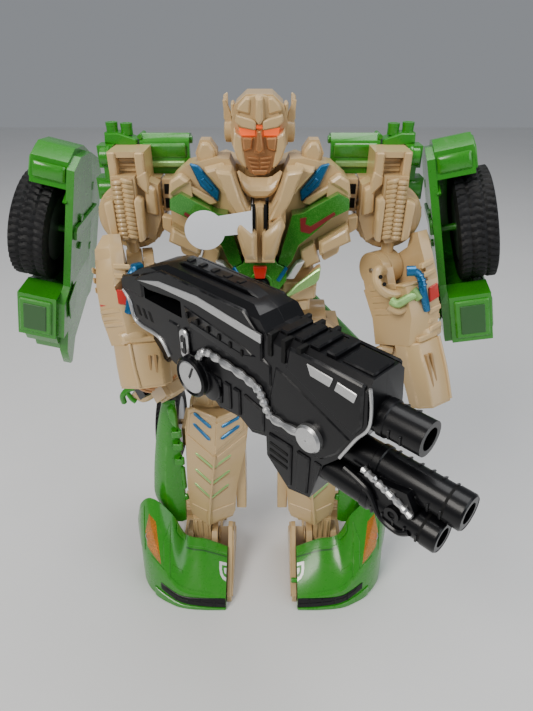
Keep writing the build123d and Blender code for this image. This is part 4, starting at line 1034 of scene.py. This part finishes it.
armPieces = (  # name, frame, look, body, what draws it
    ("upperArmTrim", sideFrame, "beige", "upper_arm", drawUpperArm),
    ("roofTrim", sideFrame, "green", "upper_arm", drawRoof),
    ("flapTrim", sideFrame, "green", "roof_flap", drawFlap),
    ("forearmTrim", armFrame, "beige", "forearm", drawLowerArm),
    ("fistTrim", fistFrame, "beige", "fist", drawFist),
)
for side in sides:
    for name, frameOf, look, body, draw in armPieces:
        trim = Maker(frameOf(side), look)
        draw(trim, side)
        trim.finish(f"{side}_{name}", f"{side}_{body}", slot=look)
hook = Maker(home, "green")  # the small folded hook below the right hand
hook.hose([(-63, -15, 112.6), (-62.8, -16, 117), (-59.8, -16, 120.4), (-56, -16, 121.6)], 1.35, "green", 12)
hook.hose([(-60.6, -16, 119), (-58.6, -17, 116), (-57, -17, 114.4)], 1.1, "green", 12)
hook.hose([(-57.4, -14.6, 118.4), (-54, -15, 115.2), (-50, -15, 117.4), (-47.6, -15, 121)], 2.2, "beige", 12)
hook.finish("right_fistHook", bodyOf["right_fist"], slot="green")
print("arms made")


# rear quarters
# the strip round the wheel, in short lengths
fenderSettings = {"archInner": 23.4, "archWidth": 1.0, "archStep": 15}


def drawFender(maker, side):
    step = fenderSettings["archStep"]
    for turn in range(-52, 128, step):
        corners = []
        for radius, angle in ((0, 0), (0, 0.4), (1, 0.4), (1, 0)):
            a = math.radians(turn + (step if angle else 0) + angle)
            r = fenderSettings["archInner"] + radius * fenderSettings["archWidth"]
            corners.append((r * math.cos(a), r * math.sin(a)))
        maker.prism(corners, -10.2, -8.6, "green", 0, axes="yz")
    maker.prism(rect(-8.4, 6, -40.4, -22.4), -22, -25, "green", 0.5, top=rect(-7.8, 5.4, -39.8, -23))
    # the darker green inset inside the frame is painted shade
    maker.prism(rect(-6.2, 4, -38.2, -24.6), -21.6, -25.4, "greenDeep", 0.2, top=rect(-5.8, 3.6, -37.8, -25))
    maker.prism([(-22.6, -40), (-22.6, -23), (24, -21.6), (24.6, -30), (19, -40)], 5.8, 7.4, "green", 0.6,
        axes="yz", top=[(-20.4, -38), (-20.4, -25), (21.6, -23.6), (22, -30), (17.4, -38)])
    maker.prism([(-13, 25), (-11, 33), (-3.6, 36), (7.6, 34), (19.4, 27), (25, 20), (24, 17), (16, 24.6),
        (4, 28), (-6, 27)], 3.8, 5.4, "green", 0.6, axes="yz")
    maker.prism(rect(-9.4, 3.6, 25.6, 33), -13.4, -14.8, "green", 0.5, top=rect(-8, 2.4, 27, 31.6))
    maker.prism([(-12.8, 6), (-11.4, 8), (18, 7), (20, 2), (-12, 2)], -13.8, -12.4, "green", 0.4, axes="yz")
    maker.prism([(-19, -24), (-9, -18), (-8, -32), (-16, -36)], -13.6, -12.4, "green", 0.5, axes="yz",
        top=[(-17.4, -25), (-10, -20.4), (-9.4, -31), (-15.4, -34)])
    for z in (-14, 2, 15):
        maker.lathe([(1.6, 0), (2.1, 0.3), (2.1, 3.2), (1.6, 3.5)], "green", (-11, 13, z),
            (-11, 13, z + 1), 18)
    for z in (-4, 9):
        maker.rod((-13.6, -4, z), (-12.2, -4, z), 1.6, "green", edge=0.3, steps=16)
    maker.lathe([(0.1, 0), (3.2, 0), (3, 1.4), (0.1, 1.6)], "green", (-9.8, 0, 0), (-8, 0, 0), 24)


for side in sides:
    quarter = Maker(fenderFrame(side), "green")
    drawFender(quarter, side)
    quarter.finish(side + "_fenderTrim", side + "_fender", slot="green")
print("rear quarters made")


# legs
legSettings = {
    "bars": 0.95, "chevron": 0.75, "chevronLift": 0.28,
    "doorRings": 30, "doorFoot": 28, "doorHeight": 79,
}


def blend(rows, at):  # smooth values between rows of (position, values...)
    k = max([i for i in range(len(rows) - 1) if rows[i][0] <= at] or [0])
    a, b = rows[k], rows[k + 1]
    before, after = rows[max(k - 1, 0)], rows[min(k + 2, len(rows) - 1)]
    reach = b[0] - a[0]
    h = (at - a[0]) / reach
    values = []
    for i in range(1, len(a)):
        leave = (b[i] - before[i]) / (b[0] - before[0]) * reach
        arrive = (after[i] - a[i]) / (after[0] - a[0]) * reach
        first = a[i] * (2 * h ** 3 - 3 * h ** 2 + 1) + leave * (h ** 3 - 2 * h ** 2 + h)
        second = b[i] * (3 * h ** 2 - 2 * h ** 3) + arrive * (h ** 3 - h ** 2)
        values.append(first + second)
    return values


def relief(maker, surface, outline, lift, look, edge=0.3):  # a raised shape on a front face
    part = bmesh.new()
    low = [part.verts.new((x, surface(x, z) + 0.6, z)) for x, z in outline]
    high = [part.verts.new((x, surface(x, z) - lift, z)) for x, z in outline]
    part.faces.new(low)
    part.faces.new(high)
    for i in range(len(low)):
        j = (i + 1) % len(low)
        part.faces.new((low[i], low[j], high[j], high[i]))
    maker.add(part, look, edge)


def facetedFront(rows):  # rows: height, inner x and y, ridge x and y, outer x and y
    def surface(x, z):
        z = min(max(z, rows[0][0]), rows[-1][0])
        k = max([i for i in range(len(rows) - 1) if rows[i][0] <= z] or [0])
        share = (z - rows[k][0]) / (rows[k + 1][0] - rows[k][0])
        xa, ya, xb, yb, xc, yc = [p * (1 - share) + q * share for p, q in zip(rows[k][1:], rows[k + 1][1:])]
        if x < xb:
            return ya + (yb - ya) * (x - xa) / (xb - xa)
        return yb + (yc - yb) * (x - xb) / (xc - xb)

    return surface


shinFront = facetedFront([(31, 16, -10, 28.2, -16.5, 37.6, -10), (37, 14.3, -11, 27.7, -17.5, 38.4, -11),
    (56, 12.8, -11, 25.8, -18, 38.8, -11), (82, 7.8, -12, 22.6, -18.5, 37.2, -12),
    (95, 6.4, -12, 21.8, -18.5, 36.8, -12), (104, 8.8, -12, 21.2, -17, 34.8, -12)])
thighFront = facetedFront([(106, 17.5, -8, 24, -10.5, 32.5, -8), (120, 15, -8, 21, -10, 29, -8),
    (138, 13.2, -8, 19, -9.5, 27, -8)])


def strip(a, b, half):  # a narrow bar's outline between two points
    lean = Vector((b[0] - a[0], b[1] - a[1])).normalized()
    side = Vector((-lean.y, lean.x)) * half
    a, b = Vector(a), Vector(b)
    return [tuple(p) for p in (a + side, a - lean * half, a - side, b - side, b + lean * half, b + side)]


def drawThigh(maker):
    for outline in ([(16.8, 108), (23.4, 107), (20.6, 126), (15.2, 124)],
            [(25, 107), (31.2, 108), (27.4, 124), (21.6, 126)]):
        relief(maker, thighFront, outline, 0.8, "beige", 0.5)
    for outline in ([(15, 127.6), (20.2, 128.6), (19.6, 134.6), (14.4, 134)],
            [(21.2, 128.6), (27, 127.4), (26.4, 134), (20.4, 134.6)]):
        relief(maker, thighFront, outline, 0.7, "beige", 0.4)
    cover = [(15.4, 149.4), (18.8, 151.6), (26.9, 151.6), (31.8, 148.2), (33.2, 144), (31.8, 139.4),
        (26.6, 135), (16.2, 136.2)]
    raised = [(24 + (x - 24) * 0.86, 143.4 + (z - 143.4) * 0.86) for x, z in cover]
    maker.prism(cover, -11.2, -12.8, "beige", 0.6, top=raised)
    # a darker beige plate behind the ribs of the cover: painted shade
    maker.prism([(19, 140), (28.6, 140), (29.6, 144), (28.6, 147.4), (19, 147.4)], -12.6, -13.3,
        "beigeDeep", 0.3)
    for k in range(3):
        maker.box(20.4, 28, -13.9, -13, 141.1 + 2.2 * k, 142.2 + 2.2 * k, "beige", 0.25)
    maker.lathe([(0.1, 0), (4.6, 0), (4.2, 1.2), (3.2, 1.2), (3, 0.5), (0.1, 0.5)], "beige",
        (27.6, 0, 147), (29, 0, 147), 32)
    for z in (111, 117, 123):  # ribs up the back
        maker.box(17.4, 28.6, 8.8, 9.9, z, z + 2.6, "beige", 0.4)
    maker.lathe([(0.1, 0), (2.4, 0), (2.2, 0.7), (1.3, 0.7), (1.2, 0.2), (0.1, 0.2)], "steel",
        (22.4, 8.8, 132), (22.4, 9.8, 132), 20)


def drawShin(maker):
    for outline in ([(20.6, 105.2), (12.2, 106.9), (6.9, 103.4), (7.1, 95.9), (22.5, 83.9)],
            [(20.6, 105.2), (31.7, 108.2), (34.6, 107), (36.4, 93.1), (22.5, 83.9)]):
        relief(maker, shinFront, outline, 1.0, "beige", 0.45)
    for outline in ([(20.7, 102.6), (12.6, 104.6), (8.4, 102), (8.6, 96.5), (22.3, 86.3)],
            [(20.7, 102.6), (31.6, 106.2), (33.4, 105.2), (34.9, 94), (22.3, 86.3)]):
        relief(maker, shinFront, outline, 1.5, "beige", 0.4)
    for a, b in (((31, 105.6), (24, 100.4)), ((31.6, 99.6), (24.9, 93.4)), ((17.9, 100.4), (10.9, 103)),
            ((18.4, 93.8), (10.9, 98.2))):
        relief(maker, shinFront, strip(a, b, legSettings["bars"]), 1.85, "blue", 0.3)
    for x, z in ((23.9, 75), (24.8, 64), (25.8, 53.6)):
        for far, out in (((x - 8.4, z + 5.0), -0.5), ((x + 8.2, z + 5.4), 0.5)):
            relief(maker, shinFront, strip((x + out, z), far, legSettings["chevron"]),
                legSettings["chevronLift"], "lime", 0.12)
            # under each chevron, a thin darker beige strip: a painted shadow
            relief(maker, shinFront, strip((x + out, z - 1.7), (far[0], far[1] - 1.9), 0.3), 0.2,
                "beigeDeep", 0.08)
    relief(maker, shinFront, [(7.6, 88), (20.8, 79.4), (22.2, 81.6), (7.2, 91.6)], 0.5, "beige", 0.3)
    relief(maker, shinFront, [(36.6, 90), (23.6, 80), (22.6, 81.8), (36.6, 92)], 0.5, "beige", 0.3)
    maker.hose([(22.5, -18.9, 83), (24, -18.8, 70), (25.9, -18.5, 55), (27.7, -17.9, 38),
        (28.2, -17, 31.6)], 0.55, "beige", 8)
    for outline in ([(15.4, 33), (26.6, 33), (26.2, 43), (14.6, 43)], [(29.4, 33), (36.6, 33), (37.4, 43),
            (28.4, 43)]):
        relief(maker, shinFront, outline, 0.45, "beige", 0.3)
    maker.box(10.4, 13.4, -5.4, 3.4, 45, 61, "beige", 0.6)
    maker.prism([(-9, 36), (6, 36), (7.4, 58), (6, 80), (-8, 84)], 8.4, 13.6, "beige", 0.5, axes="yz")
    for k in range(5):  # ribs inside the open back
        maker.box(15.6, 36.6, 9.6, 10.9, 38 + 10.4 * k, 40 + 10.4 * k, "beige", 0.4)
    maker.prism([(17, 33), (35, 33), (35.8, 88), (14, 88)], 9.4, 10.4, "beige", 0.4,
        top=[(18, 34), (34, 34), (34.8, 87), (15.4, 87)])
    maker.lathe([(0.1, 0), (5.4, 0), (5.2, 1), (3.4, 1.6), (3.2, 0.8), (0.1, 0.8)], "beige", (34, 2, 98),
        (35, 2, 98), 32)
    maker.lathe([(0.1, 0), (1.9, 0), (1.7, 0.6), (0.1, 0.6)], "steel", (34.6, 2, 98), (36, 2, 98), 20)
    for k in range(7):  # the ribbed ankle barrel
        a = math.radians(-150 + 30 * k)
        y, z = -8 + 5.1 * math.cos(a), 15 + 5.1 * math.sin(a)
        maker.rod((28.8, y, z), (37.2, y, z), 0.8, "beige", steps=10, edge=0.2)
    for x in (29.6, 32.4, 35.2):
        maker.box(x, x + 1.2, -13.3, -12, 17, 30.6, "beige", 0.3)


doorRows = [(28, 41.5, -10.5, 46, -11.6, 47.5, -10.5, 47.3, -9, 46.6, -9.4, 41.5, -8),
    (36, 41.2, -10, 48.6, -12.4, 53.6, -9, 52.8, -6.6, 48, -9.6, 41.2, -7.2),
    (44, 41, -9.4, 50, -12.4, 57.6, -7, 56.4, -4.6, 50, -9.4, 41, -6.6),
    (56, 41, -9, 50, -11.8, 57.2, -6, 55.4, -3.6, 49.6, -8.6, 41, -6.4),
    (74, 41, -8.8, 48.4, -11.2, 54.8, -6, 53.2, -3.6, 48, -8, 41, -6.2),
    (92, 41, -8.4, 46, -10, 51.6, -6, 50, -3.6, 45.6, -7, 41, -5.8), (107, 41.4, -8, 44.6, -9, 47.8, -6.4,
    46.6, -4.4, 44.4, -6.2, 41.4, -5.4)]


def drawDoor(maker):
    rings = []
    for k in range(legSettings["doorRings"]):
        z = legSettings["doorFoot"] + legSettings["doorHeight"] * k / (legSettings["doorRings"] - 1)
        v = blend(doorRows, min(z, 106.999))
        ring = [Vector((v[i], v[i + 1], z)) for i in range(0, 12, 2)]
        a, b, c = ring[:3]
        bulged = [a, a.lerp(b, 0.5) + Vector((0, -0.5, 0)), b]
        bulged += [b.lerp(c, 0.34) + Vector((0.5, -0.7, 0)), b.lerp(c, 0.7) + Vector((0.5, -0.6, 0))]
        rings.append(bulged + ring[2:])
    maker.loft(rings, "green", 0.4)
    x, y = 40.4, -10.5
    for z in (70, 80, 88):
        maker.rod((x, y, z), (x, y, z + 4), 1.4, "green", edge=0.3)
        maker.box(x, x + 3.4, y - 1.4, y + 2.8, z, z + 4, "green", 0.3)
    maker.prism([(40.4, 92), (40.4, 103.4), (42.2, 107.4), (45.4, 105.4), (45, 99), (42.6, 94)], -8.6,
        -12, "green", 0.9, top=[(41, 94), (41, 102.8), (42.4, 105.6), (44.4, 104.2), (44.2, 99.4),
        (42.6, 95.8)], segments=2)
    maker.prism([(39.6, 51), (42, 50.2), (42, 66.6), (39.6, 66)], -7.4, -9.8, "green", 0.7)
    maker.prism([(38.9, 43.2), (41.4, 42.6), (41.4, 46.6), (39.6, 47)], -8, -10, "green", 0.5)
    # darker green grooves across the door: painted shade
    for z in (36, 52, 60, 96):
        maker.box(41.8, 48.6 if 30 < z < 90 else 44, -8.4, -5.4, z, z + 1.4, "greenDeep", 0.3)


# feet
footSettings = {
    "inner": 18.6, "width": 48.79,  # where the hood starts and how wide it is
    "across": 64, "along": 18, "skin": 2.0, "toeBulge": 0.3, "bulge": 1.1, "ribs": 8,
}
hoodRows = [(18.6, -45, 0, -44, 8, -21, 19.5), (30, -45, 0, -43.6, 9, -20.5, 25),
    (41, -44, 0, -42, 10.4, -20, 28.4), (47, -42, 0, -39, 13, -18, 41), (57, -36, 0, -32, 20, -16, 51),
    (64, -27, 0, -24, 20, -14, 45), (67.4, -15, 0, -14.5, 14, -12.5, 32)]
lampOutline = [(52.4, 21), (55, 41), (58.6, 44), (61.2, 34), (60, 27)]


def hoodPoint(x, along, lift=0.0):  # along runs 0 at the toe, 1 at the nose, 2 at the rear edge
    toeY, toeZ, noseY, noseZ, rearY, rearZ = blend(hoodRows, x)
    if along <= 1:
        a, b = Vector((x, toeY, toeZ)), Vector((x, noseY, noseZ))
        h, bulge = along, footSettings["toeBulge"]
    else:
        a, b = Vector((x, noseY, noseZ)), Vector((x, rearY, rearZ))
        h, bulge = along - 1, footSettings["bulge"]
    rise = (b - a).normalized()
    return a.lerp(b, h) + Vector((0, -rise.z, rise.y)) * (lift + bulge * 4 * h * (1 - h))


def shellRings(thick):
    rings = []
    for k in range(footSettings["across"] + 1):
        x = footSettings["inner"] + footSettings["width"] * k / footSettings["across"]
        ring = [hoodPoint(x, h) for h in (0, 0.35, 0.7, 0.93)]
        ring += [hoodPoint(x, 1 + h / footSettings["along"]) for h in range(footSettings["along"] + 1)]
        back = [p.copy() for p in reversed(ring)]
        toeY, toeZ, noseY, noseZ, rearY, rearZ = blend(hoodRows, x)
        for i, p in enumerate(back):
            if i <= footSettings["along"]:
                p += Vector((0, thick * 0.7, -thick * 0.8))
            else:
                p += Vector((0, thick, 0))
                p.z = min(p.z, max(noseZ - thick, 0.4))
        rings.append(ring + back)
    return rings


def cutShell(maker, thick, look, keepLamp):
    part = bmesh.new()
    rings = [[part.verts.new(p) for p in ring] for ring in shellRings(thick)]
    joinRings(part, rings)
    sidesOf = []
    for (x0, z0), (x1, z1) in zip(lampOutline, lampOutline[1:] + lampOutline[:1]):
        normal = Vector((z1 - z0, 0, x0 - x1))
        sidesOf.append((Vector((x0, 0, z0)), normal))
        bmesh.ops.bisect_plane(part, geom=part.verts[:] + part.edges[:] + part.faces[:], dist=0.0001,
            plane_co=(x0, 0, z0), plane_no=normal)
    centre = Vector((57.4, 0, 33.4))
    wanted = []
    for face in part.faces:
        middle = face.calc_center_median()
        inside = all((middle - co).dot(no) * (centre - co).dot(no) > 0 for co, no in sidesOf)
        if inside != keepLamp:
            wanted.append(face)
    bmesh.ops.delete(part, geom=wanted, context="FACES")
    rim = [e for e in part.edges if e.is_boundary]
    bmesh.ops.bridge_loops(part, edges=rim)
    maker.add(part, look, 0.35, 1, None, 34)


def onHood(maker, x0, x1, near, far, lift, look, edge=0.2, steps=24):  # a strip on the shell
    rings = []
    for k in range(steps + 1):
        h = k / steps
        x = x0 + (x1 - x0) * h
        a, b = near[0] + (near[1] - near[0]) * h, far[0] + (far[1] - far[0]) * h
        top = [hoodPoint(x, a + (b - a) * i / 4, lift) for i in range(5)]
        low = [hoodPoint(x, a + (b - a) * i / 4, -0.5) for i in range(4, -1, -1)]
        rings.append(top + low)
    maker.loft(rings, look, edge)


def drawHood(maker, side):
    cutShell(maker, footSettings["skin"], "green", False)
    onHood(maker, 18.7, 53, (0.2, 0.4), (0.98, 0.62), 0.4, "black", 0.15)
    onHood(maker, 18.7, 57, (0.0, 0.0), (0.2, 0.3), 1.0, "green", 0.4)
    onHood(maker, 18.7, 58, (0.99, 0.9), (1.05, 1.1), 0.3, "green", 0.2, 30)
    for k in range(4):
        x = 24.4 + 6.8 * k
        onHood(maker, x, x + 0.5, (0.34, 0.34), (0.86 - 0.05 * k, 0.86 - 0.05 * k), 0.75, "black", 0.1, 2)
    onHood(maker, 18.7, 50, (0.52, 0.56), (0.58, 0.6), 0.6, "black", 0.1)
    onHood(maker, 18.7, 39.6, (1.83, 1.83), (1.985, 1.985), 0.5, "green", 0.25)
    # a darker green line beside the raised strip: painted shade
    onHood(maker, 18.7, 40, (1.765, 1.765), (1.795, 1.795), 0.16, "greenDeep", 0.05)
    onHood(maker, 41.5, 46.5, (1.3, 1.2), (1.36, 1.3), 0.4, "green", 0.2, 8)
    onHood(maker, 47.6, 51, (1.02, 1.1), (1.9, 1.5), 0.5, "green", 0.35, 12)
    onHood(maker, 61.6, 66.6, (1.1, 1.1), (1.9, 1.86), 0.45, "green", 0.3, 12)
    onHood(maker, 40.6, 44.6, (1.9, 1.86), (1.99, 1.99), 1.4, "green", 0.3, 6)
    badge = [(18.7, 1.3), (20.6, 1.34), (21.9, 1.42), (22.4, 1.52), (22.5, 1.66), (18.7, 1.66)]
    for grow, lift, look in ((1.0, 0.24, "pearl"), (0.62, 0.4, "green"), (0.34, 0.52, "pearl")):
        low = [hoodPoint(18.7 + (x - 18.7) * grow, 1.5 + (h - 1.5) * grow, -0.3) for x, h in badge]
        high = [hoodPoint(18.7 + (x - 18.7) * grow, 1.5 + (h - 1.5) * grow, lift) for x, h in badge]
        maker.loft([low, high], look, 0.06)
    if side == "left":
        maker.rod((15.4, -36, 11.4), (19, -36, 11.4), 1.3, "green", edge=0.3)
    # the ribs under the shell are darker green: painted shade
    for k in range(3):  # stiffening ribs under the shell
        x = 24 + 9 * k
        p, q = hoodPoint(x, 1.15, -2.2), hoodPoint(x, 1.9, -2.2)
        maker.prism([(p.y, p.z), (q.y, q.z), (q.y, q.z - 3), (p.y, p.z - 2)], x, x + 1.2, "greenDeep",
            0.2, axes="yz")


def drawLamp(maker):
    cutShell(maker, 0.9, "amber", True)


def lampInside(maker):
    def place(x, z, deep):  # the shell's place at a height, moved inwards
        h = min(max((z - blend(hoodRows, x)[3]) / (blend(hoodRows, x)[5] - blend(hoodRows, x)[3]), 0), 1)
        return hoodPoint(x, 1 + h, -deep)

    rings = [[place(56.6 + (x - 56.6) * 0.96, 33 + (z - 33) * 0.96, deep) for x, z in lampOutline]
        for deep in (2.2, 2.6)]
    maker.loft(rings, "amberBowl", 0.2)
    bulb, ahead = place(58.2, 32.4, 2.3), place(58.2, 32.4, 0.9)
    maker.lathe([(0.1, 0), (2.3, 0), (2.1, 0.7), (1.2, 1.1), (0.1, 1.2)], "bulb", bulb, ahead, 26)
    maker.lathe([(2.5, 0), (3.0, 0), (2.9, 0.8), (2.5, 0.8)], "silver", bulb, ahead, 30)
    top, ahead = place(57, 39.6, 2.3), place(57, 39.6, 0.9)
    maker.lathe([(0.1, 0), (1.4, 0), (1.2, 0.7), (0.1, 0.8)], "silver", top, ahead, 20)
    for k in range(footSettings["ribs"]):
        z = 23.4 + 1.15 * k
        a, b = place(54.4 - 0.1 * k, z, 1.8), place(58.8 if k < 5 else 55.8, z + 0.6, 1.8)
        maker.rod(a, b, 0.22, "silver", steps=6, edge=0)


def drawFoot(maker, side):
    maker.prism([(-39, 1.4), (-39, 5), (-21.6, 15.8), (-15, 24.6), (-11.4, 24.6), (-9.6, 12.6), (4, 7),
        (4, 1.4)], 15.3, 16.2, "beige", 0.3, axes="yz")
    for k in range(4):
        y = -34 + 7.4 * k
        maker.box(15.7, 18.6, y, y + 1, 2, 7.4 + 2.4 * k, "beige", 0.25)
    for x in (24.2, 40.6):
        maker.lathe([(0.1, 0), (4, 0), (3.7, 0.8), (2.2, 0.8), (2, 0.3), (0.1, 0.3)], "beige",
            (x + 0.8 * (x > 30), -8, 15), (x - 1 + 2.8 * (x > 30), -8, 15), 28)
    for k in range(5):
        maker.box(23.4, 46.6, 15.4 + 2.9 * k, 16.6 + 2.9 * k, 8.6, 9.7, "beige", 0.3)
    for k in range(4):
        maker.box(26 + 5.6 * k, 27.6 + 5.6 * k, 29.4, 30.6, 1, 8.4, "beige", 0.3)
    # small darker beige discs on the foot frame: painted shade
    for y in (-31, -22, 8):
        maker.lathe([(0.1, 0), (1.9, 0), (1.7, 0.5), (0.1, 0.5)], "beigeDeep", (35, y, 4), (35, y, 5), 20)


looks["amberBowl"] = mouldedPlastic("amberBowl", (0.85, 0.36, 0.012), 0.25, 0.4, 0.6)
looks["bulb"] = mouldedPlastic("orangeBulb", (0.85, 0.07, 0.01), 0.2, 0.2, 0.8)
for side in sides:
    place = sideFrame(side)
    for part, draw in (("thigh", drawThigh), ("shin", drawShin)):
        leg = Maker(place, "beige")
        draw(leg)
        leg.finish(f"{side}_{part}Trim", bodyOf[f"{side}_{part}"], slot="beige")
    door = Maker(place, "green")
    drawDoor(door)
    door.finish(side + "_door_panel.skin", bodyOf[side + "_door_panel"], side + "_door_panel", slot="green")
    hood = Maker(place, "green")
    drawHood(hood, side)
    hood.finish(side + "_hood.skin", bodyOf[side + "_hood"], side + "_hood", slot="green")
    lens = Maker(place, "amber")
    drawLamp(lens)
    lens.finish(side + "_headlight.skin", bodyOf[side + "_headlight"], side + "_headlight",
        slot=slotOf[side + "_headlight"])
    lamp = Maker(place, "amberBowl")
    lampInside(lamp)
    lamp.finish(side + "_lampInside", bodyOf[side + "_headlight"], slot=slotOf[side + "_headlight"])
    foot = Maker(place, "beige")
    drawFoot(foot, side)
    foot.finish(side + "_footTrim", bodyOf[side + "_foot_frame"], slot="beige")
print("legs and feet made")


# pelvis and the folded rear panel
lower = Maker(home, "beige")
for s in (-1, 1):
    pane(lower, s, [(5.6, 155.4), (11, 155.4), (11, 143), (7, 137.4), (5.6, 140)], -10.8, -12, "beige",
        0.4, 0.88)
    pane(lower, s, [(0.4, 154.4), (3, 152), (3.8, 146.4), (2, 140.6), (0.4, 139)], -14.8, -16, "beige",
        0.3, 0.88)
    pane(lower, s, [(2, 155), (10.6, 155), (10.6, 143), (6, 136), (2, 136)], 8.8, 10, "beige", 0.4, 0.9)
lower.finish("pelvisTrim", bodyOf["pelvis_block"], slot="beige")
panelTrim = Maker(home, "green")
panelTrim.prism([(2, 156), (15, 156), (29, 142.4), (58, 111), (54, 107), (26, 138), (2, 150)], 28.3, 29.2,
    "green", 0.4)
panelTrim.prism([(-2, 156), (-15, 156), (-29, 141), (-59, 106), (-56, 100), (-26, 135.4), (-2, 150)],
    28.3, 29.2, "green", 0.4)
for x0, z0 in ((22, 143), (30, 134.6), (38, 126), (46, 117.6)):
    panelTrim.prism([(x0, z0), (x0 + 1.6, z0 + 1.6), (x0 + 6, z0 - 4), (x0 + 4.4, z0 - 5.4)], 29, 30,
        "green", 0.3)
    panelTrim.prism([(-x0, z0 - 1), (-x0 - 1.6, z0 + 0.6), (-x0 - 6, z0 - 5), (-x0 - 4.4, z0 - 6.4)], 29,
        30, "green", 0.3)
for outline in ([(60, 104), (64.6, 104), (66.4, 118), (63.4, 118)], [(-62, 96), (-71, 96), (-71.6, 106),
        (-64, 104)]):
    panelTrim.prism(outline, 25.2, 24.2, "green", 0.4)
    panelTrim.prism(outline, 28.3, 29.4, "green", 0.4)
for x in (-8, 0, 8):
    panelTrim.lathe([(3.9, -1.5), (4.3, -1.2), (4.3, 1.2), (3.9, 1.5)], "green", (x, 23, 165),
        (x + 1, 23, 165), 24)
panelTrim.finish("backPanelTrim", bodyOf["back_panel"], slot="green")
print("pelvis and rear panel made")
